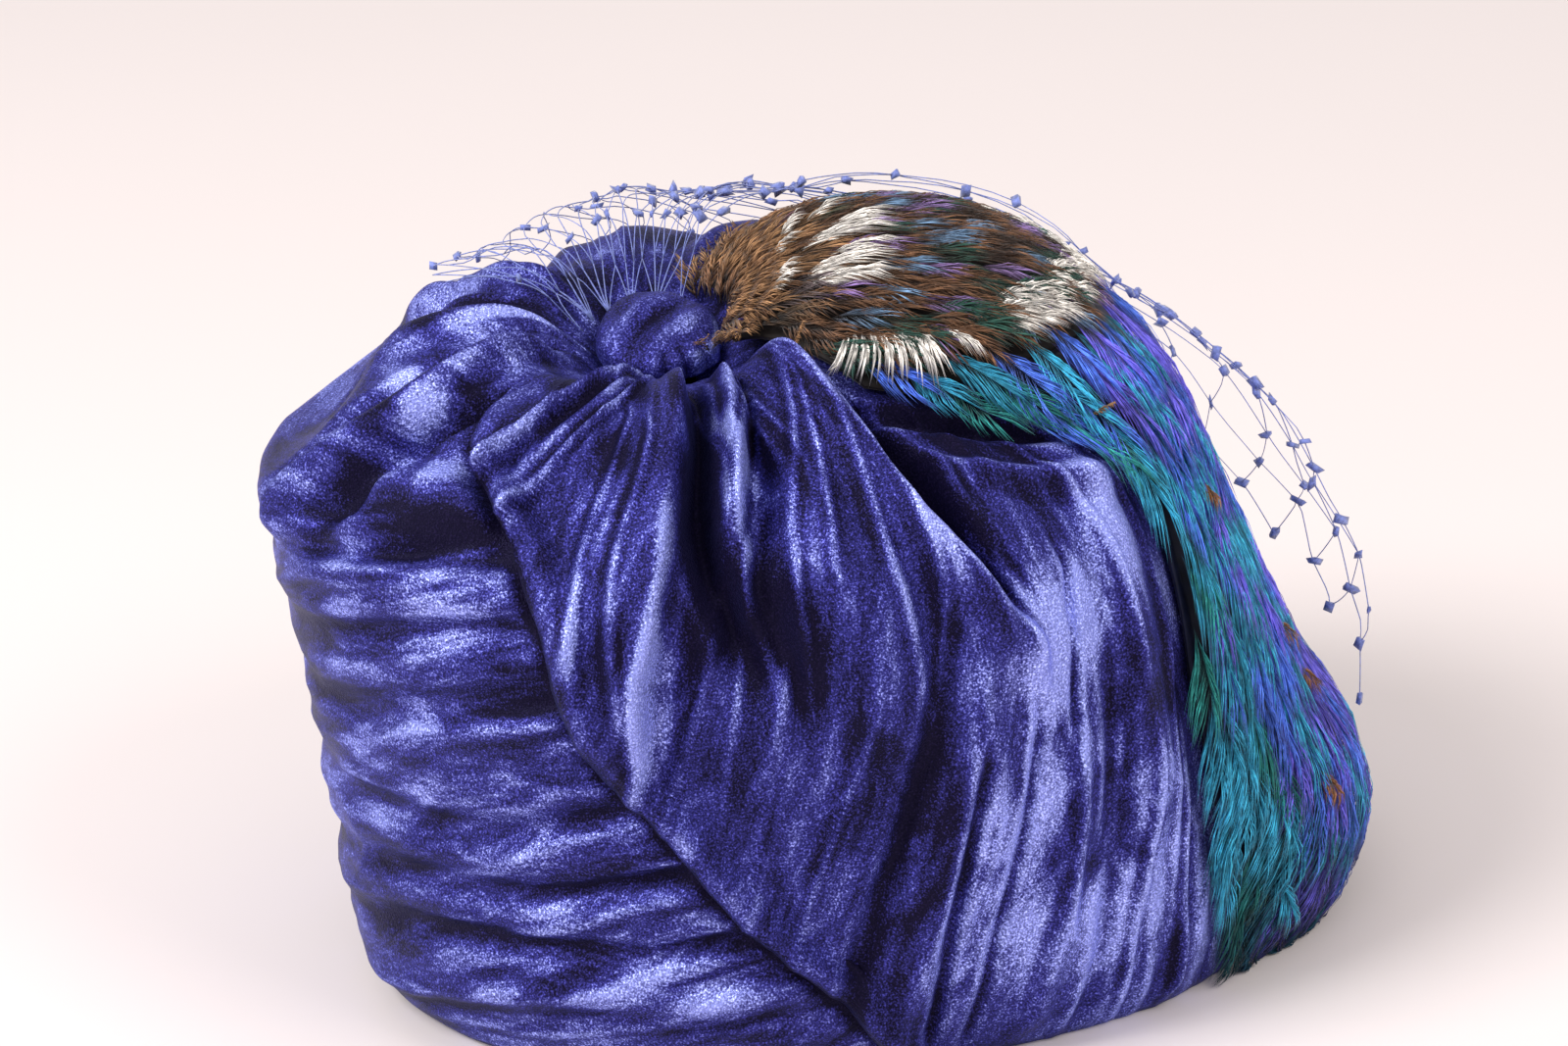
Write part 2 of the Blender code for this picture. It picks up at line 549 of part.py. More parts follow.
def main():
    for item in list(bpy.data.objects):
        bpy.data.objects.remove(item, do_unlink=True)
    velvet = make_material("velvet", (0.030, 0.025, 0.190), 0.45, 1.0)
    velvet_back = make_material("velvet_back", (0.026, 0.022, 0.165), 0.45, 1.0)
    button_cloth = make_material("button_velvet", (0.035, 0.030, 0.210), 0.45, 1.0)
    crown_down = make_material("crown_down", (0.170, 0.095, 0.060), 0.60, 0.3)
    collar_down = make_material("collar_down", (0.720, 0.700, 0.680), 0.60, 0.3)
    breast_down = make_material("breast_down", (0.020, 0.120, 0.230), 0.45, 0.3)
    net = make_material("net", (0.150, 0.190, 0.420), 0.60)
    hat = bpy.data.objects.new("hat", None)
    bpy.context.collection.objects.link(hat)

    make_sheet("side_panel", 32, 28, side_panel, velvet, hat)
    make_sheet("back_panel", 34, 29, back_panel, velvet_back, hat)
    make_button(button_cloth, hat)

    half = COLLAR_WIDTH / 2 / DRAPE_LENGTH
    gap = TRACT_GAP / DRAPE_LENGTH
    floor = TIP_LIFT / DRAPE_LENGTH
    crown_tract = tract(lambda s: collar_middle(turn_of(s)) + half + gap,
                        lambda s: np.full_like(s, PAD_TOP), 8, 4, 0.0)
    collar_tract = tract(lambda s: collar_middle(turn_of(s)) - half,
                         lambda s: collar_middle(turn_of(s)) + half, 8, 1, 0.0)
    breast_tract = tract(lambda s: np.full_like(s, floor),
                         lambda s: collar_middle(turn_of(s)) - half - gap, 8, 5, 0.05)
    make_sheet("crown_feathers", 16, 12, crown_tract, crown_down, hat)
    make_sheet("collar_feathers", 16, 3, collar_tract, collar_down, hat)
    make_sheet("breast_feathers", 16, 15, breast_tract, breast_down, hat)
    make_veil(net, hat)

    bpy.context.view_layer.update()
    graph = bpy.context.evaluated_depsgraph_get()
    corners = [item.matrix_world @ Vector(corner) for item in hat.children
               for corner in item.evaluated_get(graph).bound_box]
    low = [min(corner[axis] for corner in corners) for axis in range(3)]
    high = [max(corner[axis] for corner in corners) for axis in range(3)]
    hat.location = (-(low[0] + high[0]) / 2, -(low[1] + high[1]) / 2, -low[2])


main()
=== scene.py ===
"""Dresses the veiled hat: crushed velvet panels, a covered button, feathers and a dotted net.

The frame stands on its rim with its front towards -Y and the wearer's right towards -X. Every
soft piece is drawn on one smooth crown in two measures: turn, the angle in degrees from the
front round by the wearer's right, and up, the share of the way from the rim to the gather.
"""

import json
import math
from functools import partial
from itertools import cycle

import bmesh
import bpy
import numpy as np
from bpy.props import FloatProperty, FloatVectorProperty, IntProperty, PointerProperty
from bpy.types import Operator, Panel, PropertyGroup
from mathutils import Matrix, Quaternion, Vector


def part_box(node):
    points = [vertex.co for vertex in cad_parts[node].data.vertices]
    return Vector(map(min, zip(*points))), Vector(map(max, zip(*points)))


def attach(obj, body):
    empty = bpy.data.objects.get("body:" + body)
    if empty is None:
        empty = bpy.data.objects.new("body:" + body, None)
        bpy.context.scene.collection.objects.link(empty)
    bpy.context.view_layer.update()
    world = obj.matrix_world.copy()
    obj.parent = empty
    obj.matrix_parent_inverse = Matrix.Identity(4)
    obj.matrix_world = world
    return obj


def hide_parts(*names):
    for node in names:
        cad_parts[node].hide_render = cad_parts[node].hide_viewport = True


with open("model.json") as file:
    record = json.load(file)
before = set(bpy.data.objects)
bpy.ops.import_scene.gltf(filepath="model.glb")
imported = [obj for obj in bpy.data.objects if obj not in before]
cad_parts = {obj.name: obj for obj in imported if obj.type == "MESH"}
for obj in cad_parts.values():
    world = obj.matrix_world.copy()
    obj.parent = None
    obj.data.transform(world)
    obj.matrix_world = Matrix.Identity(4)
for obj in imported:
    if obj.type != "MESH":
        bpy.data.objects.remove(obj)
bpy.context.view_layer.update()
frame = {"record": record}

bl_info = {
    "name": "Veiled hat",
    "version": (1, 0, 0),
    "blender": (4, 5, 0),
    "location": "3D View > Sidebar > Hat",
    "description": "Makes the velvet, feathers and net of a veiled hat round its frame",
    "category": "Object",
}

# Sizes that the frame has too, in metres. TOP_SLOPE, PAD_TOP and ROUNDNESS have no unit.
RIM_LENGTH = 0.206
RIM_WIDTH = 0.172
FRONT_RADIUS = 0.083
BACK_RADIUS = 0.116
SIDE_RADIUS = 0.099
SHOULDER_HEIGHT = 0.116
CROWN_HEIGHT = 0.152
WELL_DEPTH = 0.016
GATHER_RADIUS = 0.008
GATHER_BACK = 0.032
GATHER_SIDE = 0.009
TOP_SLOPE = 0.09
TOP_ROUNDING = 0.02
WALL = 0.0022
PLEAT_RISE = 0.0070
BAND_RISE = 0.0036
PAD_RISE = 0.0240
PAD_EDGE = 0.0030
PAD_TOP = 0.925
VEIL_REST = 0.0030
VEIL_LOFT = 0.0050
VEIL_STAND = 0.0215
VEIL_EDGE_RADIUS = 0.0165
DRAPE_LENGTH = 0.265
ROUNDNESS = 2.25
BUTTON_RISE = 0.0105
BUTTON_LEAN = math.radians(8)

# How the velvet laps, tucks and settles, in metres
LAP_OVER = 0.0040
LAP_RISE = 0.0034
LAP_PUFF = 0.0006
LAP_ROLL = 0.010
TUCK_UNDER = 0.0060
TUCK_REACH = 0.0110
TUCK_EASE = 0.007
TUCK_SINK = 0.0018
# TUCK_SHADE is how far that painted shadow under the lapped edge reaches.
TUCK_SHADE = 0.0095
COVERED_DROP = 0.0008
RIM_DROP = 0.0012
NEAR_DIP = 0.0048
BUTTON_SINK = 0.0018

# Grids that the pieces are drawn on, in columns and rows
SIDE_GRID = (270, 182)
BACK_GRID = (260, 190)
BUTTON_STEPS = 144
BUTTON_RINGS = 44
NOISE_CELLS = 61

mount = Vector(frame["record"]["mounts"][0]["pos_m"])
RIM_CENTRE = np.array(mount) - (0, (RIM_LENGTH - WALL) / 2, 0)

# Sections of the crown, up its wall and over its top. The last columns are shares of the sizes.
WALL_SECTIONS = (
    # name,     up,   height, centre, front, back, side
    ("rim",     0.00, 0.000, 0.00, 0.00, 0.00, 0.00),
    ("flare",   0.05, 0.086, 0.00, 0.00, 0.38, 0.38),
    ("low",     0.16, 0.300, 0.00, 0.10, 0.62, 0.77),
    ("belly",   0.32, 0.600, 0.00, 0.45, 0.85, 1.00),
    ("high",    0.45, 0.860, 0.09, 0.80, 1.00, 0.92),
    ("edge",    0.53, 1.000, 0.19, 1.00, 0.85, 0.54),
)
TOP_SECTIONS = (
    # name,     up,   rise, sink, centre, front, back,  side
    ("brow",    0.62, 0.44, 0.00, 0.375, 0.907, 0.796, 0.780),
    ("crest",   0.75, 0.89, 0.00, 0.690, 0.693, 0.519, 0.527),
    ("top",     0.84, 1.00, 0.00, 0.875, 0.400, 0.278, 0.330),
    ("well",    0.93, 1.00, 0.31, 0.970, 0.147, 0.120, 0.132),
    ("gather",  1.00, 1.00, 1.00, 1.000, 0.000, 0.000, 0.000),
)
# Pleats that run up the side panel: up and turn at the foot, middle and head, the widths to the
# front and to the back in degrees, and the rise as a share of PLEAT_RISE.
SIDE_PLEATS = (
    # name,           up at,              turn at,             front, back, rise
    ("lens",          (0.38, 0.58, 0.82), (118.5, 111.5, 97),   2.4, 14.0,  1.00),
    ("lens valley",   (0.44, 0.62, 0.84), (104.5, 106, 92),     4.5,  4.0, -1.10),
    ("strap",         (0.60, 0.70, 0.84), (102, 95.4, 83),      3.6,  3.4,  0.90),
    ("strap valley",  (0.42, 0.55, 0.70), (99, 100.5, 91),      4.5,  2.5, -0.60),
    ("long roll",     (0.40, 0.60, 0.84), (90, 87, 71),        10.0,  8.0,  0.60),
    ("cut fold",      (0.44, 0.60, 0.84), (69, 75.8, 66.5),     1.8,  9.0,  1.00),
    ("cut valley",    (0.48, 0.62, 0.84), (70, 71.5, 62),       4.5,  2.4, -0.90),
    ("short fold",    (0.47, 0.55, 0.65), (68.5, 70, 66.5),     2.4,  1.6,  0.45),
    ("corner",        (0.22, 0.46, 0.62), (55, 52, 46),         6.0,  6.0,  0.45),
    ("low valley",    (0.06, 0.27, 0.46), (98, 88.5, 80),       3.4,  3.0, -0.45),
    ("low roll",      (0.05, 0.24, 0.44), (91, 82, 75),         4.0,  4.5,  0.36),
    ("hem roll",      (0.02, 0.16, 0.34), (72, 68, 64),         4.0,  4.0,  0.30),
    ("hem valley",    (0.02, 0.18, 0.36), (64, 61, 59),         3.0,  3.0, -0.30),
    ("upper edge",    (0.64, 0.74, 0.88), (138, 130, 106),      2.6,  3.6,  0.85),
    ("lower edge",    (0.52, 0.66, 0.86), (131, 131, 108),      2.6,  4.0,  0.40),
)
# Narrow ridges and creases of the side panel, in the same columns
SIDE_LINES = (
    ("strap line",    (0.58, 0.68, 0.82), (101.3, 93.8, 80.5),  1.2,  1.2, -0.50),
    ("second ridge",  (0.54, 0.67, 0.80), (102.3, 97, 83),      1.6,  0.9,  0.45),
    ("streak one",    (0.42, 0.58, 0.82), (97.5, 94.3, 72),     1.3,  1.6,  0.26),
    ("streak two",    (0.55, 0.64, 0.80), (90.5, 85.5, 73),     1.1,  1.4,  0.20),
    ("streak three",  (0.45, 0.60, 0.80), (84, 81.5, 69.5),     1.1,  1.8,  0.20),
    ("thin edge",     (0.36, 0.47, 0.60), (49, 42.5, 34),       1.2,  2.6,  0.36),
    ("dark gap",      (0.04, 0.19, 0.34), (85, 82, 78),         1.6,  1.6, -0.50),
    ("small crease",  (0.36, 0.43, 0.50), (65, 63, 60),         1.0,  1.4, -0.40),
    ("thin line",     (0.60, 0.735, 0.86), (133, 121, 102),     1.1,  2.0,  0.40),
    ("lens line one", (0.42, 0.56, 0.72), (119, 117.5, 109),    1.1,  1.6,  0.22),
    ("lens line two", (0.46, 0.60, 0.76), (123.5, 121, 112),    1.1,  1.6,  0.22),
    ("lens foot",     (0.32, 0.38, 0.46), (120, 117.5, 117),    1.6,  2.2,  0.34),
    ("hem line one",  (0.02, 0.14, 0.30), (58, 57, 54),         0.9,  1.4,  0.26),
    ("hem line two",  (0.02, 0.16, 0.36), (80, 76, 70),         0.9,  1.4, -0.28),
    ("hem line three", (0.02, 0.16, 0.34), (50, 49, 47),        0.9,  1.4,  0.26),
)
# Pleats that run up the back panel, in the same columns
BACK_PLEATS = (
    ("back roll",     (0.54, 0.70, 0.88), (170, 157.5, 151),    6.0,  5.5,  0.95),
    ("under roll",    (0.56, 0.70, 0.88), (160, 150, 132),      5.0,  5.0, -0.85),
    ("under loop",    (0.54, 0.71, 0.90), (174, 165, 160),      5.0,  6.0, -0.75),
    ("loop",          (0.75, 0.83, 0.93), (184, 178, 175),     10.0,  4.5,  0.60),
    ("loop mouth",    (0.72, 0.83, 0.93), (196, 190, 190),      9.0, 10.0, -1.35),
    ("upper flap",    (0.70, 0.80, 0.93), (214, 216, 220),      8.0,  9.0,  1.15),
    ("shoulder fall", (0.57, 0.69, 0.82), (196, 201, 228),     26.0, 28.0, -1.15),
    ("far crease",    (0.56, 0.74, 0.92), (238, 240, 238),      7.0,  7.0, -0.60),
    ("far hump",      (0.54, 0.74, 0.92), (262, 264, 258),     12.0, 12.0,  0.35),
    ("far valley",    (0.54, 0.72, 0.90), (280, 280, 276),      5.0,  5.0, -0.50),
    ("far roll",      (0.50, 0.70, 0.88), (293, 292, 290),      7.0,  7.0,  0.20),
    ("far fold",      (0.30, 0.46, 0.60), (298, 295, 292),      6.0,  5.0,  0.40),
)
# Folds that run round the panels: turn and up at the two ends, the widths below and above as
# shares of the drape, and the rise as a share of BAND_RISE.
SIDE_BANDS = (
    # name,             turn at,    up at,        below, above, rise
    ("hollow rim",      (46,  66), (0.58, 0.65),  0.040, 0.022, 0.90),
    ("hollow",          (44,  66), (0.64, 0.72),  0.030, 0.035, -1.30),
)
BACK_BANDS = (
    # name,             turn at,    up at,        below, above, rise
    ("shoulder dome",  (134, 160), (0.64, 0.60),  0.05,  0.05,  1.30),
    ("shoulder band",  (126, 186), (0.58, 0.47),  0.024, 0.030, -0.90),
    ("upper band",     (123, 205), (0.49, 0.38),  0.034, 0.022, -0.70),
    ("middle band",    (121, 200), (0.42, 0.31),  0.022, 0.036, -0.90),
    ("waist band",     (115, 210), (0.32, 0.20),  0.036, 0.024, -0.70),
    ("low band",       (109, 190), (0.26, 0.13),  0.024, 0.032, -0.80),
    ("hem band",       (103, 200), (0.19, 0.07),  0.028, 0.020, -0.70),
    ("hem roll",       ( 96, 180), (0.13, 0.04),  0.022, 0.028,  0.60),
    ("far upper",      (200, 318), (0.50, 0.46),  0.030, 0.024, -0.70),
    ("far middle",     (188, 300), (0.37, 0.40),  0.026, 0.036,  0.70),
    ("far waist",      (206, 322), (0.30, 0.27),  0.030, 0.022, -0.80),
    ("far low",        (184, 296), (0.20, 0.22),  0.024, 0.030, -0.60),
    ("far hem",        (200, 326), (0.11, 0.09),  0.030, 0.020, -0.70),
)
# The lapped seam, from the rim to the gather
SEAM = (
    # up,  turn
    (0.00,  84), (0.12,  97), (0.19, 106), (0.29, 114), (0.35, 120), (0.44, 124),
    (0.50, 125), (0.58, 128), (0.69, 138), (0.78, 137), (1.00, 132),
)
# Half widths of the feather pad in degrees, to its two edges, and its share of PAD_RISE.
PAD_SECTIONS = (
    # up,  near, far,  rise
    (0.00, 29, 29, 0.40),
    (0.04, 32, 31, 0.62),
    (0.10, 37, 34, 0.80),
    (0.16, 41, 38, 0.70),
    (0.24, 44, 42, 0.36),
    (0.35, 45, 43, 0.20),
    (0.45, 42, 42, 0.16),
    (0.52, 39, 41, 0.20),
    (0.60, 38, 42, 0.30),
    (0.66, 43, 44, 0.38),
    (0.70, 50, 46, 0.42),
    (0.755, 61, 50, 0.46),
    (0.82, 57, 52, 0.46),
    (0.88, 52, 52, 0.36),
    (0.93, 48, 50, 0.16),
)
# The net's free edge, from the back round the far side to the front
VEIL_EDGE = (
    # turn, up
    (200, 0.79), (230, 0.70), (270, 0.50), (310, 0.34), (345, 0.21), (363, 0.16),
)
# Its front end, which leans back over the far side towards the gather.
VEIL_FRONT = (
    # up,  turn
    (0.16, 363), (0.40, 361), (0.58, 354), (0.66, 346), (0.72, 322), (0.80, 304), (1.0, 292),
)
# How far the net stands off at the front
VEIL_BOW = (
    # up,  share of VEIL_STAND at the front
    (0.15, 0.05), (0.21, 0.66), (0.28, 1.00), (0.36, 0.94), (0.42, 0.92), (0.46, 0.76),
    (0.52, 0.42), (0.58, 0.10), (0.64, 0.00), (1.0, 0.00),
)


def smooth(share):
    """Ease from 0 to 1."""
    share = np.clip(share, 0, 1)
    return share * share * (3 - 2 * share)


def column(rows, index):
    return np.array([row[index] for row in rows], float)


def through(knots, values, at):
    """A smooth curve through the values at the knots."""
    slopes = np.gradient(values, knots)
    i = np.clip(np.searchsorted(knots, at, side="right") - 1, 0, len(knots) - 2)
    span = knots[i + 1] - knots[i]
    s = np.clip((at - knots[i]) / span, 0, 1)
    a, b = values[i], values[i + 1]
    return ((2 * s - 3) * s * s + 1) * a + (3 - 2 * s) * s * s * b \
        + span * (s * (1 - s) ** 2 * slopes[i] - s * s * (1 - s) * slopes[i + 1])


def section_columns():
    """Height, centre and the three radii at every section, with their places up the drape."""
    rise = CROWN_HEIGHT - SHOULDER_HEIGHT
    radii = ((4, 5, RIM_LENGTH / 2, FRONT_RADIUS), (5, 6, RIM_LENGTH / 2, BACK_RADIUS),
             (6, 7, RIM_WIDTH / 2, SIDE_RADIUS))
    up = np.concatenate((column(WALL_SECTIONS, 1), column(TOP_SECTIONS, 1)))
    height = np.concatenate((
        SHOULDER_HEIGHT * column(WALL_SECTIONS, 2),
        SHOULDER_HEIGHT + rise * column(TOP_SECTIONS, 2) - WELL_DEPTH * column(TOP_SECTIONS, 3)))
    centre = GATHER_BACK * np.concatenate((column(WALL_SECTIONS, 3), column(TOP_SECTIONS, 4)))
    reach = [np.concatenate((rim + (full - rim) * column(WALL_SECTIONS, low),
                             GATHER_RADIUS + (full - GATHER_RADIUS) * column(TOP_SECTIONS, high)))
             for low, high, rim, full in radii]
    return up, height, centre, reach


SECTION_UP, SECTION_HEIGHT, SECTION_CENTRE, SECTION_REACH = section_columns()


def crown(turn, up):
    """Points on the smooth crown, under every fold."""
    turn, up = np.broadcast_arrays(np.asarray(turn, float), np.asarray(up, float))
    angle = np.radians(turn)
    ahead, aside = np.cos(angle), np.sin(angle)
    front, back, side = (through(SECTION_UP, reach, up) for reach in SECTION_REACH)
    length = np.where(ahead > 0, front, back)
    radius = (np.abs(ahead / length) ** ROUNDNESS + np.abs(aside / side) ** ROUNDNESS) \
        ** (-1 / ROUNDNESS)
    lean = smooth((up - 0.45) / 0.4)
    x = -radius * aside - GATHER_SIDE * lean
    y = through(SECTION_UP, SECTION_CENTRE, up) - radius * ahead
    fall = (x - np.hypot(x, TOP_ROUNDING)) / 2
    z = through(SECTION_UP, SECTION_HEIGHT, up) + TOP_SLOPE * lean * fall
    return np.stack((x, y, z), -1) + RIM_CENTRE


def outward(turn, up):
    """The crown's outward direction, level along the rim so that the rim stays flat."""
    aside, step = 0.2, 0.002
    across = crown(turn - aside, up) - crown(turn + aside, up)
    along = crown(turn, np.minimum(up + step, 1)) - crown(turn, np.maximum(up - step, 0))
    normal = np.cross(across, along)
    normal[..., 2] *= smooth(np.asarray(up) / 0.06)
    return normal / np.linalg.norm(normal, axis=-1, keepdims=True)


def over_crown(turn, up, rise):
    """Points at a height over the smooth crown."""
    return crown(turn, up) + outward(turn, up) * rise[:, None]


def degree_length(turn, up):
    """The metres that one degree of turn spans there."""
    return np.linalg.norm(crown(turn + 0.5, up) - crown(turn - 0.5, up), axis=-1)


def seam_turn(up):
    return np.interp(up, column(SEAM, 0), column(SEAM, 1))


def signed(turn):
    """The turn from the front, with the far side negative."""
    return (np.asarray(turn, float) + 180) % 360 - 180


def pad_edges(up):
    ups = column(PAD_SECTIONS, 0)
    return np.interp(up, ups, column(PAD_SECTIONS, 1)), np.interp(up, ups, column(PAD_SECTIONS, 2))


def cover(turn, up):
    """1 under the feather pad and 0 away from it: the hidden velvet lies plain."""
    near, far = pad_edges(up)
    place = signed(turn)
    past = np.where(place > 0, place - near, -place - far)
    return smooth(1.4 - past / 4) * smooth((0.97 - up) / 0.03)


def pad_height(turn, up):
    """The feather pad's smooth rise over the velvet, running out at its edges."""
    near, far = pad_edges(up)
    place = signed(turn)
    share = np.abs(place) / np.where(place > 0, near, far)
    rise = np.interp(up, column(PAD_SECTIONS, 0), column(PAD_SECTIONS, 3)) * PAD_RISE
    body = PAD_EDGE + (rise - PAD_EDGE) * np.clip(1 - share ** 2.5, 0, 1)
    return body * smooth((1.12 - share) / 0.12) * smooth((PAD_TOP + 0.03 - up) / 0.03)


def hump(across, low, high):
    """A fold's section: 1 at its ridge, 0 at the named widths to either side."""
    return smooth(1 - np.abs(np.where(across < 0, across / low, across / high)))


def pleats(rows, turn, up):
    """The summed rise of pleats that run up the crown."""
    total = np.zeros(np.shape(turn))
    for _, ups, turns, front, back, rise in rows:
        ridge = through(np.array(ups), np.array(turns, float), up)
        ends = smooth((up - ups[0] + 0.06) / 0.10) * smooth((ups[2] + 0.06 - up) / 0.10)
        total += rise * ends * hump(turn - ridge, front, back)
    return PLEAT_RISE * total


def bands(rows, turn, up):
    """The summed rise of folds that run round the crown."""
    total = np.zeros(np.shape(turn))
    for index, (_, turns, ups, below, above, rise) in enumerate(rows):
        share = (turn - turns[0]) / (turns[1] - turns[0])
        sway = 0.012 * np.sin(np.radians(turn * 5 + 70 * index))
        ridge = ups[0] + (ups[1] - ups[0]) * share + sway
        ends = smooth((turn - turns[0] + 8) / 12) * smooth((turns[1] + 8 - turn) / 16)
        total += rise * ends * hump(up - ridge, below, above)
    return BAND_RISE * total


def noise(across, along, seed):
    """Smooth cloth noise from -1 to 1, one cell to each unit."""
    table = np.random.default_rng(seed).uniform(-1, 1, (NOISE_CELLS, NOISE_CELLS))
    i, j = np.floor(across).astype(int), np.floor(along).astype(int)
    u, v = smooth(across - i), smooth(along - j)

    def pick(a, b):
        return table[(i + a) % NOISE_CELLS, (j + b) % NOISE_CELLS]

    return (pick(0, 0) * (1 - u) + pick(1, 0) * u) * (1 - v) \
        + (pick(0, 1) * (1 - u) + pick(1, 1) * u) * v


def ridges(across, along, seed):
    """Sharp long ridges, from 0 to 1."""
    return (1 - np.abs(noise(across, along, seed))) ** 3


def puffs(across, along, seed):
    """Round gathers between sharp creases, from 0 to 1."""
    return np.abs(noise(across, along, seed)) ** 0.7


def calm(turn, up):
    """Folds die away at the rim, at the gather and under the feathers."""
    return (0.25 + 0.75 * smooth(up / 0.05)) * (0.04 + 0.96 * smooth((1 - up) / 0.22)) \
        * (1 - cover(turn, up))


def near_side(turn):
    """1 on the wearer's right, below the button, and 0 away from it."""
    return smooth((75 - np.abs(signed(turn - 95))) / 40)


def gathers(turn, up, seed):
    """Small tucks that run in under the button, smaller on the near side."""
    rise = 0.0046 - 0.0022 * near_side(turn)
    return smooth((up - 0.76) / 0.10) * (rise * puffs(turn / 7.5, up / 0.5, seed) - 0.0018)


def dip(turn, up):
    """How far the gathers sink under the button's lower edge, on the near side."""
    return NEAR_DIP * smooth((up - 0.81) / 0.08) * near_side(turn)


def settled(turn, up):
    """How far the velvet lies lower: under the feathers, at the rim and beside the button."""
    return COVERED_DROP * cover(turn, up) + RIM_DROP * (1 - smooth(up / 0.012)) + dip(turn, up)


def fineness(up):
    """The share of the small folds that is left as they run together towards the gather."""
    return np.clip((0.93 - up) / 0.3, 0.15, 1)


def side_grain(turn, up):
    """The side panel's measure across its creases, which lean towards the seam low down."""
    lean = 45 * (up - 0.3) * np.clip((turn - 45) / 45, 0, 1)
    return turn + lean + 1.1 * noise(turn / 12, up / 0.11, seed=3)


def side_rise(turn, up):
    """The side panel's pleats, its long ridges and the gathers over its hem."""
    grain = side_grain(turn, up)
    finest = fineness(up)
    hem = smooth((0.30 - up) / 0.25) * smooth((88 - turn) / 30)
    rough = 0.35 + 0.65 * smooth((0.46 - up) / 0.16)
    small = 0.0019 * ridges(grain / 5.2, up / 0.26, seed=11)
    small += 0.0008 * rough * ridges(grain / 3.0, up / 0.16, seed=12)
    small += 0.0015 * hem * puffs(grain / 2.5, up / 0.17, seed=13)
    main = pleats(SIDE_PLEATS, turn, up) + pleats(SIDE_LINES, turn, up) + bands(SIDE_BANDS, turn, up)
    main += gathers(turn, up, seed=15)
    return calm(turn, up) * (main + (small - 0.0008) * finest)


def back_level(turn, up):
    """The back panel's measure across its creases, which drop away from the seam."""
    wander = 0.010 * noise(turn / 15, up / 0.12, seed=4)
    return up + 0.0022 * (np.minimum(turn, 190) - 150) + wander


def back_rise(turn, up):
    """The back panel's folds: round it below the shoulder, towards the button above."""
    level = back_level(turn, up)
    low = smooth((0.66 - up) / 0.10)
    small = 0.0014 * ridges(level / 0.040, turn / 30, seed=21)
    small += 0.0006 * ridges(level / 0.024, turn / 16, seed=22)
    small += 0.0004 * noise(level / 0.024, turn / 6, seed=24)
    high = 0.0014 * ridges(turn / 6.0, up / 0.20, seed=23)
    finest = fineness(up)
    small = low * small + (1 - low) * high * finest - 0.0008 * finest
    flat = 1 - 0.45 * low * smooth((turn - 150) / 25)
    main = pleats(BACK_PLEATS, turn, up) + flat * bands(BACK_BANDS, turn, up)
    main += gathers(turn, up, seed=26)
    return calm(turn, up) * (main + flat * small)


def front_gap(up):
    """Half the gap at the hidden front seam, in degrees."""
    return 0.2 + 1.0 * smooth((up - 0.6) / 0.4)


def past_seam(turn, up):
    """How far the place is past the lapped seam, in metres, positive on the back panel's side."""
    return (turn - seam_turn(up)) * degree_length(turn, up)


def bright_places(rows, turn, up):
    """Light and dark places summed from a table: the velvet's painted light and shade, and also where its
    pile is crushed most.
    """
    total = np.zeros(np.shape(turn))
    for _, at_turn, at_up, wide, tall, amount in rows:
        total += amount * np.exp(-((turn - at_turn) / wide) ** 2 - ((up - at_up) / tall) ** 2)
    return total


# Painted light and shade of the velvet, listed place by place: where, how wide in degrees and how tall as
# a share of the drape, and how much lighter (negative: darker, painted shade).
SIDE_PAINTED_LIGHT = (
    # name,          turn, up,    width, height, amount
    ("corner",        51, 0.527,   5.5, 0.050,  0.66),
    ("corner foot",   61, 0.458,   6.0, 0.050,  0.68),
    ("corner side",   70, 0.415,   4.5, 0.035,  0.34),
    ("thin edge",     44, 0.450,   1.6, 0.070,  0.30),
    ("under corner",  66, 0.36,    6.0, 0.07,   0.34),
    ("hem front",     52, 0.16,   14.0, 0.13,   0.36),
    ("hem middle",    74, 0.20,    6.0, 0.10,   0.30),
    ("lens face",    118, 0.64,    5.0, 0.05,   0.10),
    ("lens edge",    115, 0.48,    1.8, 0.06,   0.42),
    ("lens shoulder", 110.5, 0.59, 1.8, 0.06,   0.38),
    ("lens foot",    117, 0.39,    2.4, 0.04,   0.34),
    ("valley head",  100, 0.74,    2.5, 0.05,  -0.65),
    ("valley",       104.5, 0.65,  3.0, 0.06,  -0.75),
    ("valley foot",  107.5, 0.54,  2.8, 0.07,  -0.65),
    ("under strap",   99, 0.50,    5.0, 0.07,  -0.42),
    ("strap",         95, 0.71,    2.4, 0.06,   0.42),
    ("strap foot",   100.5, 0.62,  1.8, 0.05,   0.36),
    ("strap head",    87, 0.78,    3.0, 0.03,   0.40),
    ("long face",     91, 0.54,    3.0, 0.07,   0.16),
    ("cut crest",     76.5, 0.57,  1.3, 0.06,   0.40),
    ("cut head",      73.5, 0.70,  1.3, 0.05,   0.32),
    ("cut shade",     70, 0.62,    3.0, 0.08,  -0.60),
    ("hollow",        55, 0.69,    9.0, 0.050, -0.66),
    ("smooth plane", 116, 0.71,    4.0, 0.05,  -0.26),
    ("facet",        134, 0.788,   3.0, 0.015,  0.30),
    ("roll shade",   130, 0.82,    6.0, 0.045, -0.40),
    ("hole",         109, 0.80,    3.0, 0.03,  -0.50),
    ("middle low",    88, 0.36,    8.0, 0.08,  -0.18),
)
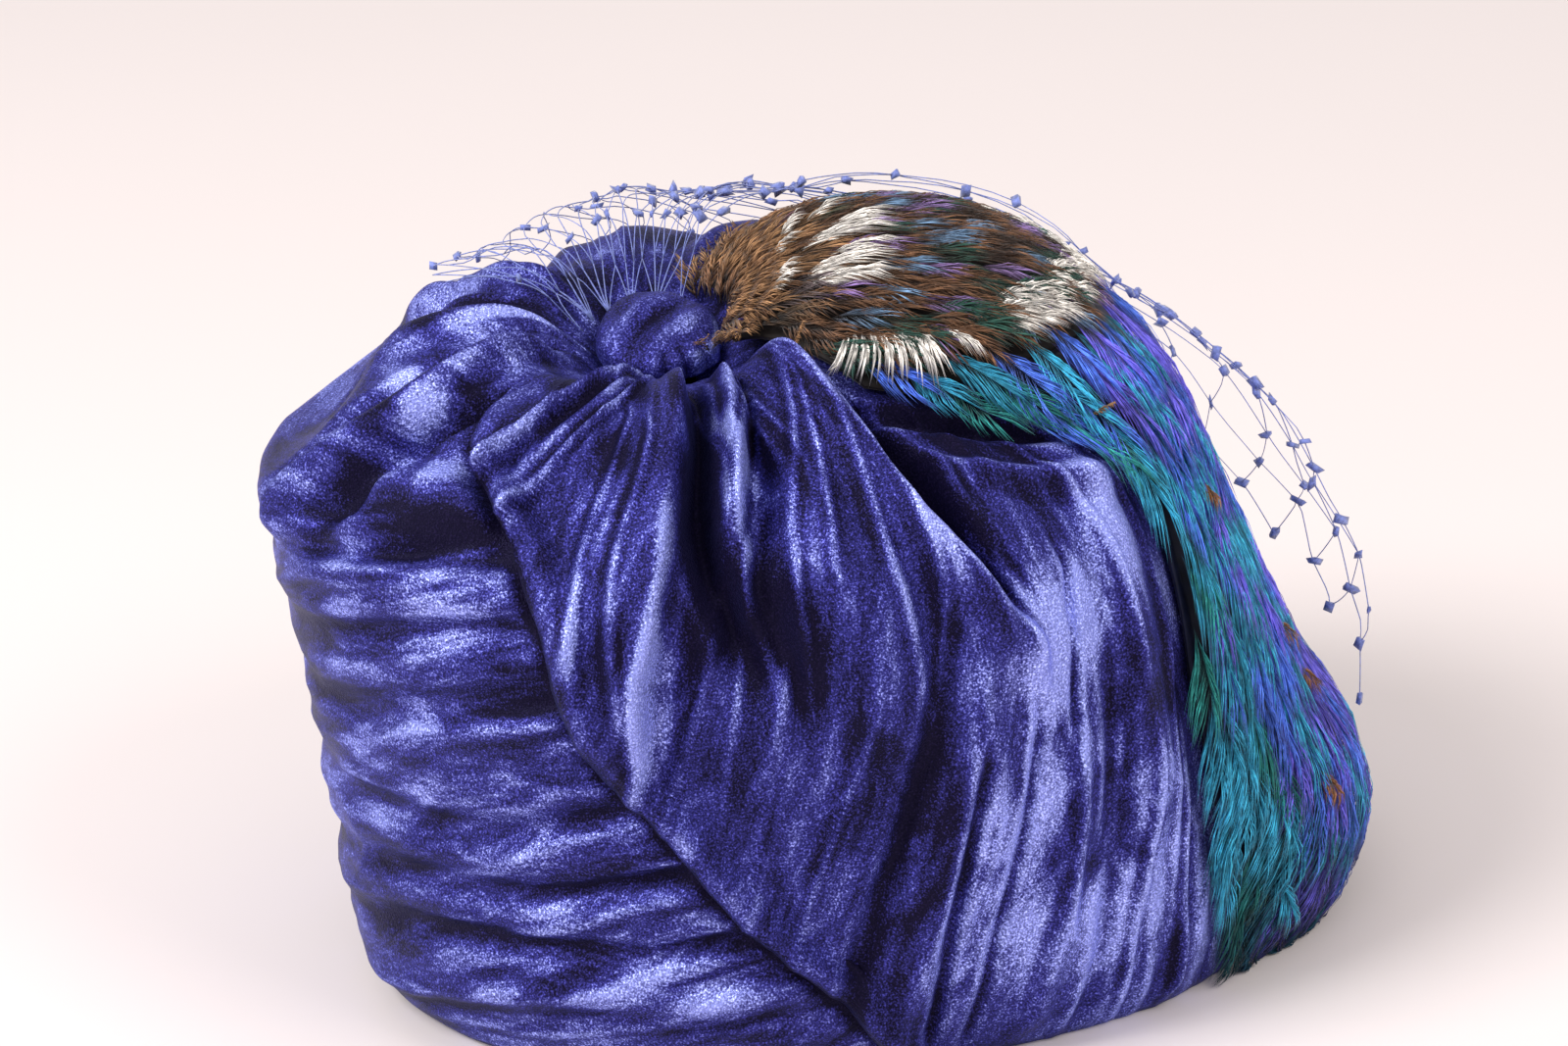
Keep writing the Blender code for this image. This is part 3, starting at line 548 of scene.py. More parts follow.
BACK_PAINTED_LIGHT = (
    ("upper",        166, 0.72,   20.0, 0.13,   0.11),
    ("dome",         146, 0.655,   7.0, 0.025,  0.34),
    ("dark band",    140, 0.592,  12.0, 0.016, -0.45),
    ("shoulder",     140, 0.50,   14.0, 0.03,   0.18),
    ("waist",        135, 0.30,   14.0, 0.05,   0.16),
    ("waist dark",   130, 0.36,    8.0, 0.03,  -0.30),
    ("low",          125, 0.20,   16.0, 0.04,   0.12),
    ("hem",          120, 0.09,   14.0, 0.04,   0.08),
    ("back roll",    154, 0.71,    2.0, 0.16,   0.26),
    ("roll head",    147, 0.82,    4.0, 0.03,   0.34),
    ("under roll",   148, 0.71,    3.0, 0.10,  -0.50),
    ("under loop",   159, 0.74,    3.0, 0.14,  -0.60),
    ("loop mouth",   189, 0.84,    8.0, 0.09,  -1.10),
    ("lip",          176, 0.86,    2.0, 0.07,   0.60),
    ("flap",         213, 0.80,    6.0, 0.05,   0.30),
    ("far hump",     256, 0.85,    8.0, 0.05,   0.24),
    ("far shade",    232, 0.90,   14.0, 0.04,  -0.35),
)
# Where the side panel's pile is crushed most, in the same columns
SIDE_CRUSH = (
    ("corner",        48, 0.48,   14.0, 0.14,   0.45),
    ("lower front",   62, 0.20,   26.0, 0.20,   0.65),
    ("lower middle",  92, 0.25,   16.0, 0.14,   0.25),
    ("seam side",    120, 0.50,    9.0, 0.22,   0.40),
)


def evenly(field, turn, up):
    """A field averaged over one step of the mesh, so that nothing in it is finer than that."""
    aside, step = 0.22, 0.002
    steps = ((-aside, -step), (aside, -step), (-aside, step), (aside, step))
    return sum(field(turn + across, up + along) for across, along in steps) / len(steps)


def painted_light_of(rise, rows, turn, up):
    """Painted light and shade of the velvet: painted highlights on ridges and on the flanks that face the
    front, painted shade in the valleys, and the listed places.
    """
    wide, tall = 0.7, 0.006
    sharp, steep = 0.0013, 0.0022
    here = rise(turn, up)
    ahead, behind = rise(turn - wide, up), rise(turn + wide, up)
    higher, lower = rise(turn, up + tall), rise(turn, up - tall)
    bulge = np.clip((4 * here - ahead - behind - higher - lower) / sharp, -1, 1)
    flank = np.clip((behind - ahead) / steep, -1, 1)
    flank += 0.6 * np.clip((lower - higher) / steep, -1, 1)
    return 0.37 + 0.29 * bulge + 0.17 * flank + bright_places(rows, turn, up)


def new_mesh_object(name, mesh, material, slot, *nodes):
    """Put a finished mesh in the scene, on the body, in place of its nodes."""
    mesh.materials.append(material)
    mesh.shade_smooth()
    piece = bpy.data.objects.new(name, mesh)
    bpy.context.collection.objects.link(piece)
    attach(piece, "root")
    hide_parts(*nodes)
    return piece


def set_values(mesh, name, values):
    layer = mesh.attributes.new(name, "FLOAT", "POINT")
    layer.data.foreach_set("value", np.asarray(values, np.float32))


def set_colours(mesh, name, colours):
    layer = mesh.color_attributes.new(name, "FLOAT_COLOR", "POINT")
    colours = np.concatenate((colours, np.ones((len(colours), 1))), axis=1)
    layer.data.foreach_set("color", colours.astype(np.float32).ravel())


def set_drape_map(mesh, places):
    """A UV map in metres, so that the pile has one scale all over."""
    layer = mesh.uv_layers.new(name="drape")
    corners = np.empty(len(mesh.loops), np.int32)
    mesh.loops.foreach_get("vertex_index", corners)
    layer.data.foreach_set("uv", places[corners].astype(np.float32).ravel())


def closed_mesh(name, bm, points):
    """Move a closed shape's points to their places, turn its faces outwards and make its mesh."""
    for vert, point in zip(bm.verts, points):
        vert.co = point
    bmesh.ops.recalc_face_normals(bm, faces=bm.faces[:])
    if bm.calc_volume(signed=True) < 0:
        bmesh.ops.reverse_faces(bm, faces=bm.faces[:])
    mesh = bpy.data.meshes.new(name)
    bm.to_mesh(mesh)
    bm.free()
    return mesh


def wall_mesh(name, columns, rows, place):
    """A curved wall: a grid drawn on the crown, extruded to its inner face."""
    bm = bmesh.new()
    bmesh.ops.create_grid(bm, x_segments=columns, y_segments=rows, size=0.5)
    made = bmesh.ops.extrude_face_region(bm, geom=bm.faces[:])["geom"]
    inner = {item for item in made if isinstance(item, bmesh.types.BMVert)}
    shares = np.array([vert.co[:2] for vert in bm.verts]) + 0.5
    is_inner = np.array([vert in inner for vert in bm.verts])
    points, places, values = place(shares[:, 0], shares[:, 1], is_inner)
    mesh = closed_mesh(name, bm, points)
    set_drape_map(mesh, places)
    for layer, amounts in values.items():
        if amounts.ndim == 2:
            set_colours(mesh, layer, amounts)
        else:
            set_values(mesh, layer, amounts)
    return mesh


def place_side(share, up, is_inner):
    """From the hidden front seam back to the lapped edge, which lies over the back panel."""
    lap = LAP_OVER / degree_length(seam_turn(up), up) * smooth((0.90 - up) / 0.08)
    gap = front_gap(up)
    last = seam_turn(up) + lap - gap * smooth((up - 0.84) / 0.08)
    turn = gap + np.interp(share, (0, 0.07, 1), (0, 0.24, 1)) * (last - gap)
    past = np.clip((turn - last) * degree_length(turn, up) + LAP_ROLL, 0, LAP_ROLL) / LAP_ROLL
    lapped = smooth(past / 0.55) * smooth((0.78 - up) / 0.07)
    roll = 1 - smooth((past - 0.80) / 0.20) * 0.42
    rise = evenly(side_rise, turn, up) + LAP_RISE * lapped * roll
    rise += LAP_PUFF * lapped * puffs(up / 0.03, turn * 0, seed=16)
    rise -= settled(turn, up)
    thin = WALL * (1 - 0.35 * lapped)
    rise = np.where(is_inner, np.minimum(rise - thin, 0.0012 * lapped + 0.002), rise)
    grain = side_grain(turn, up)
    places = np.stack((np.radians(grain) * 0.09, up * DRAPE_LENGTH), -1)
    crush = 0.15 * noise(grain / 5.5, up / 0.13, seed=31)
    crush += 0.15 * noise(grain / 2.2, up / 0.07, seed=32)
    # Painted light and shade from the folds and the listed places, plus crushed patches of pile.
    nap_and_painted_light = evenly(partial(painted_light_of, side_rise, SIDE_PAINTED_LIGHT), turn, up) + crush
    # Painted shadow along the lapped edge, and a thin painted highlight on its roll.
    nap_and_painted_light -= 0.35 * smooth((past - 0.86) / 0.14) * lapped
    nap_and_painted_light += 0.10 * smooth(1 - np.abs(past - 0.62) / 0.22) * lapped
    crushed = 0.32 + bright_places(SIDE_CRUSH, turn, up)
    return over_crown(turn, up, rise), places, {"nap_and_painted_light": nap_and_painted_light, "crushed": crushed}


def place_back(share, up, is_inner):
    """From under the lapped edge round the back and the far side to the hidden front seam."""
    below_well = smooth((0.86 - up) / 0.08)
    tuck = TUCK_UNDER / degree_length(seam_turn(up), up) * below_well
    gap = front_gap(up)
    start = seam_turn(up) - tuck + gap * smooth((up - 0.84) / 0.08)
    turn = start + np.interp(share, (0, 0.50, 0.86, 1), (0, 0.38, 0.80, 1)) * (360 - gap - start)
    past = past_seam(turn, up)
    sunk = smooth((TUCK_REACH - past) / TUCK_EASE) * below_well
    rise = evenly(back_rise, turn, up) * (1 - sunk) - TUCK_SINK * sunk
    rise -= settled(turn, up)
    rise = np.where(is_inner, rise - WALL, rise)
    level = back_level(turn, up)
    places = np.stack((level * DRAPE_LENGTH, np.radians(turn) * 0.10), -1)
    crush = 0.20 * noise(level / 0.045, turn / 13, seed=41)
    crush += 0.17 * noise(level / 0.020, turn / 7, seed=42)
    # Painted light and shade from the folds and the listed places, plus crushed patches of pile.
    nap_and_painted_light = evenly(partial(painted_light_of, back_rise, BACK_PAINTED_LIGHT), turn, up) + crush
    # Painted shadow where the back panel runs in under the lapped edge.
    nap_and_painted_light -= 0.8 * smooth((TUCK_SHADE - past) / 0.006) * below_well
    crushed = 0.55 + 0.45 * smooth((0.62 - up) / 0.15)
    return over_crown(turn, up, rise), places, {"nap_and_painted_light": nap_and_painted_light, "crushed": crushed}


class Nodes:
    """A short way to add and join shader nodes."""

    def __init__(self, name):
        self.material = bpy.data.materials.new(name)
        self.material.use_nodes = True
        self.tree = self.material.node_tree
        self.shader = self.tree.nodes["Principled BSDF"]

    def add(self, kind, inputs=None, **settings):
        node = self.tree.nodes.new(kind)
        for key, value in settings.items():
            setattr(node, key, value)
        for key, value in (inputs or {}).items():
            self.put(node, key, value)
        return node

    def put(self, node, key, value):
        if isinstance(value, bpy.types.NodeSocket):
            self.tree.links.new(value, node.inputs[key])
        else:
            node.inputs[key].default_value = value

    def shade(self, **inputs):
        for key, value in inputs.items():
            self.put(self.shader, key.replace("_", " ").title().replace("Ior", "IOR"), value)

    def math(self, operation, first, second=0.0, third=0.0):
        inputs = {0: first, 1: second, 2: third}
        return self.add("ShaderNodeMath", inputs, operation=operation).outputs[0]

    def around(self, value, amount, base):
        """Add a pattern's difference from its middle, times an amount, to a base."""
        return self.math("MULTIPLY_ADD", self.math("SUBTRACT", value, 0.5), amount, base)

    def multiply(self, first, second):
        return self.add("ShaderNodeMix", {0: 1.0, 6: first, 7: second}, data_type="RGBA",
                        blend_type="MULTIPLY").outputs[2]

    def attribute(self, name, output):
        return self.add("ShaderNodeAttribute", attribute_name=name).outputs[output]

    def place(self):
        """The place in the piece's own coordinates."""
        return self.add("ShaderNodeTexCoord").outputs["Object"]

    def noise(self, vector, scale, detail=2.0, roughness=0.5, twist=0.0):
        inputs = {"Vector": vector, "Scale": scale, "Detail": detail, "Roughness": roughness,
                  "Distortion": twist}
        return self.add("ShaderNodeTexNoise", inputs).outputs["Fac"]

    def stretch(self, vector, scale):
        return self.add("ShaderNodeMapping", {"Vector": vector, "Scale": scale}).outputs[0]

    def ramp(self, value, stops):
        node = self.add("ShaderNodeValToRGB", {"Fac": value})
        steps = node.color_ramp.elements
        while len(steps) < len(stops):
            steps.new(0.5)
        for step, (position, colour) in zip(steps, stops):
            step.position = position
            step.color = (*colour, 1) if hasattr(colour, "__len__") else (colour,) * 3 + (1,)
        return node.outputs["Color"]

    def bump(self, height, strength, distance):
        inputs = {"Height": height, "Strength": strength, "Distance": distance}
        return self.add("ShaderNodeBump", inputs).outputs["Normal"]


def between(first, second, share):
    return [a + (b - a) * share for a, b in zip(first, second)]


def velvet_material(name, velvet):
    """Crushed velvet: ragged light and dark patches of pile, with painted light and shade carried by a
    point attribute and painted glints in fine sparkling streaks.
    """
    nodes = Nodes(name)
    dark, middle, bright, grain = velvet.dark, velvet.middle, velvet.bright, velvet.grain
    drape = nodes.add("ShaderNodeUVMap", uv_map="drape").outputs[0]
    nap_and_painted_light = nodes.attribute("nap_and_painted_light", "Fac")
    crushed = nodes.attribute("crushed", "Fac")
    ragged = nodes.noise(nodes.stretch(drape, (1.0, 0.42, 1)), 1 / (grain * 10), 7.0, 0.68, 0.9)
    streak = nodes.noise(nodes.stretch(drape, (1.0, 0.18, 1)), 1 / (grain * 1.6), 3.0, 0.6, 0.3)
    sparkle = nodes.noise(nodes.place(), 2.2 / grain, 1.0, 0.5)
    patch = nodes.math("MULTIPLY", nodes.math("SUBTRACT", ragged, 0.5), 1.40)
    lay = nodes.math("MULTIPLY_ADD", patch, crushed, nap_and_painted_light)
    lay = nodes.around(streak, 0.40, lay)
    lay = nodes.around(sparkle, 0.60, lay)
    # The ramp lays the dark colour where the painted shade falls and the bright one at the painted
    # highlights.
    stops = ((0.14, dark), (0.32, between(dark, middle, 0.45)), (0.47, middle),
             (0.58, between(middle, bright, 0.16)), (0.68, between(middle, bright, 0.50)),
             (0.86, bright))
    # Painted glints: the sparkle noise scales the colour from 0.7 to 2.1 times.
    painted_glint = nodes.ramp(sparkle, ((0.36, 0.70), (0.56, 1.0), (0.72, 2.1)))
    colour = nodes.multiply(nodes.ramp(lay, stops), painted_glint)
    gloss = nodes.ramp(lay, ((0.30, 0.15), (0.80, 0.60)))
    height = nodes.math("MULTIPLY_ADD", sparkle, 0.5, nodes.math("MULTIPLY", ragged, 2.2))
    nodes.shade(base_color=colour, metallic=gloss, roughness=0.38, specular_ior_level=0.10,
                specular_tint=(0.45, 0.48, 1.0, 1), sheen_weight=0.08, sheen_roughness=0.5,
                sheen_tint=(0.2, 0.25, 1.0, 1), normal=nodes.bump(height, 0.6, 0.0008))
    return nodes.material


BUTTON_FOLDS = (
    # name,    rise,    place,   widths to either side, in metres
    ("upper",  0.0015,  0.0045,  0.0032, 0.0046),
    ("lower",  0.0013, -0.0050,  0.0042, 0.0030),
    ("crease", -0.0013, 0.0002,  0.0024, 0.0022),
)


def button_mesh(diameter, tilt):
    """A domed cloth cover, folded across and tucked in under its near edge."""
    radius = diameter / 2
    low, high = 0.0034, 0.0092
    stem, stem_foot = 0.004, -0.006
    profile = [(0.0, high)]
    for k in range(1, BUTTON_RINGS + 1):
        a = math.radians(88 * k / BUTTON_RINGS)
        profile.append((radius * math.sin(a), low + (high - low) * math.cos(a) ** 0.8))
    profile += [(radius * 1.005, low * 0.55), (radius * 0.97, low * 0.2), (radius * 0.90, 0.0),
                (stem, 0.0), (stem, stem_foot), (0.0, stem_foot)]
    bm = bmesh.new()
    verts = [bm.verts.new((x, 0, z)) for x, z in profile]
    edges = [bm.edges.new(pair) for pair in zip(verts, verts[1:])]
    bmesh.ops.spin(bm, geom=verts + edges, cent=(0, 0, 0), axis=(0, 0, 1),
                   angle=2 * math.pi, steps=BUTTON_STEPS, use_merge=True)
    bmesh.ops.remove_doubles(bm, verts=bm.verts[:], dist=1e-6)
    co = np.array([vert.co[:] for vert in bm.verts])
    r = np.hypot(co[:, 0], co[:, 1])
    angle = np.degrees(np.arctan2(co[:, 1], co[:, 0]))
    top = smooth(co[:, 2] / 0.002)
    # Two soft folds run across it, from the back down to the near edge where it is tucked in
    lean = math.radians(-38)
    across = co[:, 1] * math.cos(lean) - co[:, 0] * math.sin(lean)
    along = co[:, 1] * math.sin(lean) + co[:, 0] * math.cos(lean)
    sway = across + 0.0016 * np.sin(along / 0.006)
    wrinkle = sum(rise * hump(sway - at, low_side, high_side)
                  for _, rise, at, low_side, high_side in BUTTON_FOLDS)
    wrinkle += 0.0004 * noise(across / 0.0026, along / 0.010, seed=52)
    near = smooth((60 - np.abs(signed(angle - 205))) / 30) * smooth((r / radius - 0.62) / 0.3)
    tucks = 0.0017 * near * (np.abs(np.sin(np.radians(angle * 8))) - 0.5)
    rim = 1 + 0.035 * np.sin(np.radians(3 * angle + 40)) + 0.02 * np.sin(np.radians(5 * angle))
    co[:, :2] *= rim[:, None]
    lift = top * (wrinkle * smooth(1.25 - r / radius) + tucks)
    normal = co / np.maximum(np.linalg.norm(co - (0, 0, -0.004), axis=1), 1e-5)[:, None]
    co += normal * lift[:, None]
    mesh = closed_mesh("covered_button", bm, co)
    set_drape_map(mesh, np.stack((across, along), -1))
    # A painted highlight along part of the rim.
    edge = smooth((r / radius - 0.82) / 0.12) * smooth((55 - np.abs(signed(angle + 120))) / 40)
    crush = 0.12 * noise(across / 0.006, along / 0.009, seed=53)
    # Painted light and shade on the button: folds that stand up are lighter and sunk ones darker, with
    # the rim's painted highlight and crushed patches.
    nap_and_painted_light = 0.40 + 120 * (lift - 0.0002) + crush + 0.45 * edge
    set_values(mesh, "nap_and_painted_light", nap_and_painted_light)
    set_values(mesh, "crushed", np.full(len(nap_and_painted_light), 0.5))
    mesh.transform(Quaternion((0, 1, 0), -math.radians(tilt)).to_matrix().to_4x4())
    return mesh


def spindles(starts, middles, ends, normals, width, colours):
    """Many barbs, each a thin spindle of five points and six triangles, bent at its middle."""
    side = np.cross(normals, ends - starts)
    side *= width / 2 / np.maximum(np.linalg.norm(side, axis=1, keepdims=True), 1e-9)
    points = np.stack((starts, middles - side, middles + side, middles + normals * width * 0.4,
                       ends), axis=1)
    one = np.array([(0, 2, 1), (0, 3, 2), (0, 1, 3), (4, 1, 2), (4, 2, 3), (4, 3, 1)])
    faces = (np.arange(len(starts))[:, None, None] * 5 + one[None]).reshape(-1, 3)
    tints = colours[:, (0, 1, 1, 1, 2)]
    return points.reshape(-1, 3), faces, tints.reshape(-1, 3)


def on_pad(turn, up, lift):
    """Points over the pad, or over the velvet's folds past its edge."""
    folds = np.maximum(side_rise(turn, up), 0) * (1 - cover(turn, up))
    return over_crown(turn, up, np.maximum(pad_height(turn, up), folds) + lift)


def feather_barbs(rows, rng, barbs, barb_width, sweep, bare):
    """The barbs of many feathers, in the crown's own measures.

    Each row is turn, up, heading in degrees from straight down towards the wearer's right,
    length, width, lift of the tip, and nine numbers for the colours of root, middle and tip.
    Each barb runs along its quill for the sweep's share of the feather, and a bare share of them
    is missing.
    """
    rows = np.asarray(rows, float)
    turn, up, heading, length, width, lift = (values[:, None] for values in rows[:, :6].T)
    count = len(rows)
    share = np.linspace(0.02, 1.0, barbs)[None, :] + rng.uniform(-0.012, 0.012, (count, barbs))
    side = np.where(np.arange(barbs) % 2 == 0, 1.0, -1.0)[None, :]
    quill = share * length * (1 - sweep)
    spread = 0.10 + np.sin(np.clip(share, 0, 1) ** 0.7 * math.pi * 0.90) ** 0.7
    reach = 0.5 * width * spread * rng.uniform(0.55, 1.25, (count, barbs)) * side
    forward = sweep * length * rng.uniform(0.75, 1.15, (count, barbs))
    angle = np.radians(heading)
    per_degree = degree_length(turn, np.clip(up - 0.5 * length / DRAPE_LENGTH, 0.01, 0.97))

    def spot(along, across, over):
        down = along * np.cos(angle) - across * np.sin(angle)
        aside = along * np.sin(angle) + across * np.cos(angle)
        at_up = np.clip(up - down / DRAPE_LENGTH, 0.004, 0.985).ravel()
        at_turn = (turn + aside / per_degree).ravel()
        return on_pad(at_turn, at_up, over.ravel()), outward(at_turn, at_up)

    loose = rng.uniform(-0.0003, 0.0005, (count, barbs))
    start, _ = spot(quill, 0 * quill, lift * (0.20 + 0.70 * share))
    middle, normal = spot(quill + forward * 0.5, reach * 0.68, lift * (0.40 + 0.60 * share) + loose)
    end, _ = spot(quill + forward, reach, lift * (0.45 + 0.45 * share) + 1.4 * loose)
    colours = rows[:, 6:].reshape(-1, 3, 3)
    place = np.stack([share * 0.8 + ahead for ahead in (0, 0.15, 0.30)], -1)
    place = np.clip(place, 0, 1)[..., None]
    first, second = smooth(np.clip(place * 2, 0, 1)), smooth(np.clip(place * 2 - 1, 0, 1))
    root, mid, tip = (colours[:, None, None, k] for k in range(3))
    tint = root * (1 - first) + mid * first * (1 - second) + tip * second
    clump = rng.uniform(0, 1, (count, barbs // CLUMP + 1))
    clump = np.repeat(clump, CLUMP, axis=1)[:, :barbs]
    tint = tint * ((0.55 + 0.9 * clump) * rng.uniform(0.75, 1.25, (count, barbs)))[..., None, None]
    kept = (clump > bare).ravel()
    return spindles(start[kept], middle[kept], end[kept], normal[kept], barb_width,
                    tint.reshape(-1, 3, 3)[kept])


BROWN = (0.210, 0.105, 0.055)
DARK_BROWN = (0.036, 0.020, 0.014)
BACKING = (0.008, 0.005, 0.004)
TAN = (0.420, 0.230, 0.110)
MAUVE = (0.340, 0.220, 0.520)
SLATE = (0.190, 0.330, 0.520)
MOSS = (0.025, 0.085, 0.065)
WHITE = (0.900, 0.860, 0.800)
TEAL = (0.055, 0.430, 0.660)
GREEN = (0.035, 0.310, 0.290)
BLUE = (0.105, 0.230, 0.930)
VIOLET = (0.210, 0.180, 0.960)
NAVY = (0.005, 0.007, 0.026)
COPPER = (0.330, 0.150, 0.065)

# White feathers, listed one by one, that lie over the crown's brown ones
WHITE_FEATHERS = (
    # turn, up,   heading, length, width
    (  3, 0.880,    6, 0.021, 0.0040), ( -2, 0.872,   8, 0.019, 0.0036), ( -9, 0.856,  12, 0.016, 0.0034),
    ( 14, 0.858,    9, 0.015, 0.0030), ( 24, 0.872,  -4, 0.017, 0.0030), ( 28, 0.874, -10, 0.020, 0.0040),
    ( 33, 0.866,    0, 0.018, 0.0048), ( 29, 0.846,   8, 0.013, 0.0030), ( 23, 0.900,  10, 0.009, 0.0040),
    ( 32, 0.898,    4, 0.009, 0.0040), ( -4, 0.898,  20, 0.009, 0.0034), (-18, 0.880, -10, 0.007, 0.0030),
    (-20, 0.860,    0, 0.010, 0.0030), ( 46, 0.770,  28, 0.015, 0.0028), ( 42, 0.755,  18, 0.014, 0.0018),
)
# A small white fan at the pad's near edge, and the short feathers that start behind it
FAN_BARBS = 9
START_FEATHERS = 40
# Copper tips and pale quill ends between the breast feathers, in the same columns
COPPER_FEATHERS = (
    (30, 0.505,    8, 0.012, 0.0050), (20, 0.330, -10, 0.013, 0.0060), (18, 0.275, -8, 0.013, 0.0060),
    (26, 0.190,    4, 0.012, 0.0050), (-24, 0.40,   6, 0.012, 0.0050), (-20, 0.22, -6, 0.012, 0.0050),
)
QUILL_ENDS = (
    (61, 0.832,  -20, 0.0035, 0.0016), (39, 0.614, -15, 0.0032, 0.0014),
)
# The one teal feather that lies over the dark hem, with the same columns and its lift
HEM_FEATHER = (36, 0.125, -20, 0.026, 0.0050, 0.0060)
# How the breast feathers lean on the wearer's right: at the shoulder and down the front
LEAN_TURNS = (0, 20, 33, 50, 62)
LEAN_HIGH = (34, 26, 12, -6, -4)
LEAN_LOW = (2, 6, 8, 8, 8)
COLLAR_FEATHERS = 110
COLLAR_TURN = -5
COLLAR_UP = 0.665
COLLAR_LIFT = 0.09
COLLAR_WIDTH = 0.0150
COLLAR_GAP = 0.0008
COLLAR_HALF = COLLAR_WIDTH / 2 / DRAPE_LENGTH
PIECE_GAP = COLLAR_GAP / DRAPE_LENGTH
COLLAR_NEAR = 60
COLLAR_SPAN = 120
COLLAR_WHITE = (-44, 36)
BREAST_FOOT = 0.012
# The dark backing: its underside, its edge and its least height over the crown, in metres
BACKING_FLOOR = 0.0006
BACKING_EDGE = 0.0012
BACKING_LEAST = 0.0016
BACKING_NEAR = 50
BACKING_SPAN = 110
BACKING_GRIDS = {"crown": (48, 30), "collar": (40, 6), "breast": (48, 60)}
# The feathers' courses: from where to where up the drape, and the spacing up and aside
CROWN_COURSES = (0.70, 0.945, 0.0042, 0.0046)
BREAST_COURSES = (0.05, 0.82, 0.0086, 0.0072)
# Barbs to a feather, their width, the sweep, and the share of them that is missing
BARBS = {
    "crown": (44, 0.00034, 0.46, 0.10),
    "collar": (40, 0.00036, 0.50, 0.10),
    "breast": (66, 0.00036, 0.50, 0.06),
}
CLUMP = 5
# Lengths and widths of the feathers, and how far their tips lift, in metres
LENGTHS = {"start": 0.012, "fan": 0.0215, "collar": 0.015}
WIDTHS = {"crown": 0.0066, "start": 0.0070, "fan": 0.0015, "collar": 0.0050, "breast": 0.0088}
LIFTS = {"crown": 0.0030, "start": 0.0042, "white": 0.0052, "fan": 0.0050, "collar": 0.0038,
         "breast": 0.0040, "copper": 0.0056, "quill": 0.0070}
FEATHER_LOOKS = {
    # metallic, roughness, sheen
    "crown": (0.10, 0.50, 0.15),
    "collar": (0.0, 0.6, 0.15),
    "breast": (0.40, 0.36, 0.1),
}


# Colours of the breast feathers, each with the draw that it is taken under, and the turns that
# part the side of the breast from its middle and that from its front
BREAST_TURNS = (36, 17)
BREAST_SIDE = ((0.60, TEAL), (0.88, GREEN), (1.0, BLUE))
BREAST_WITHIN = ((0.40, BLUE), (0.80, TEAL), (1.0, VIOLET))
BREAST_FRONT = ((0.60, VIOLET), (0.88, BLUE), (1.0, TEAL))


def drawn(choices, draw):
    """The first colour whose limit lies over the draw."""
    return np.array(next(colour for limit, colour in choices if draw < limit))


def laid(rows, lift, root, middle, tip):
    """Rows for feathers that are listed one by one, with their lift and colours."""
    return [(*row, lift, *root, *middle, *tip) for row in rows]


def collar_middle(turn):
    ends = np.abs(signed(turn) - COLLAR_TURN) / 55
    return COLLAR_UP + COLLAR_LIFT * ends ** 1.5


def scatter(rng, low, high, step_up, step_side):
    """Roots of feathers in staggered courses over a stretch of the pad, lowest first."""
    spots = []
    courses = int((high - low) * DRAPE_LENGTH / step_up)
    for course in range(courses + 1):
        up = low + (high - low) * course / courses
        near, far = (float(edge) for edge in pad_edges(up))
        metres = float(degree_length(np.array([0.0]), np.array([min(up, 0.95)]))[0])
        count = max(3, int((near + far) * metres / step_side))
        for k in range(count + 1):
            turn = near - (near + far) * (k + 0.5 * (course % 2)) / count
            spots.append((turn + rng.uniform(-1, 1) * 0.3 * step_side / metres,
                          up + rng.uniform(-0.3, 0.3) * step_up / DRAPE_LENGTH))
    return spots


def breast_lean(turn, up):
    """The breast feathers' heading: parted at the front, swept back over the shoulder."""
    high = smooth((up - 0.42) / 0.16)
    lean = (1 - high) * np.interp(abs(turn), LEAN_TURNS, LEAN_LOW) \
        + high * np.interp(abs(turn), LEAN_TURNS, LEAN_HIGH)
    return float(lean * np.clip(turn / 8, -1, 1))


def breast_colour(turn, up, rng):
    """Teal at the sides of the breast, blue within, violet at the front, navy at the hem."""
    place = abs(turn) + rng.normal(0, 5)
    pick = rng.uniform()
    side, within = BREAST_TURNS
    choices = BREAST_SIDE if place > side else BREAST_WITHIN if place > within else BREAST_FRONT
    main = drawn(choices, pick) * rng.uniform(0.7, 1.25)
    low = 0.85 * float(smooth((0.25 - up) / 0.15))
    return main * (1 - low) + np.array(NAVY) * low


def backing(low, high, colour):
    """The place function of the dark backing that the feathers are fixed to."""
    def place(share, across, is_inner):
        foot, head = low(share), high(share)
        up = foot + (head - foot) * across
        near, far = pad_edges(up)
        turn = near - share * (near + far)
        edge = smooth(np.minimum(share, 1 - share) / 0.05)
        pad = pad_height(turn * 0.999, np.minimum(up, PAD_TOP - 0.001))
        rise = np.maximum(pad - BACKING_EDGE, BACKING_LEAST)
        rise = BACKING_EDGE + (rise - BACKING_EDGE) * (0.3 + 0.7 * edge)
        points = over_crown(turn, up, np.where(is_inner, BACKING_FLOOR, rise))
        return points, np.stack((share, across), -1), {"tint": np.tile(colour, (len(share), 1))}
    return place


def join_mesh(name, barbs, base):
    """One mesh from the backing and the barbs."""
    barb_points, barb_faces, barb_tints = barbs
    count = len(base.vertices)
    points = np.empty(count * 3)
    base.vertices.foreach_get("co", points)
    faces = [tuple(face.vertices) for face in base.polygons]
    tints = np.empty(count * 4)
    base.color_attributes["tint"].data.foreach_get("color", tints)
    faces += (barb_faces + count).tolist()
    mesh = bpy.data.meshes.new(name)
    mesh.from_pydata(np.concatenate((points.reshape(-1, 3), barb_points)), [], faces)
    set_colours(mesh, "tint", np.concatenate((tints.reshape(-1, 4)[:, :3], barb_tints)))
    bpy.data.meshes.remove(base)
    return mesh


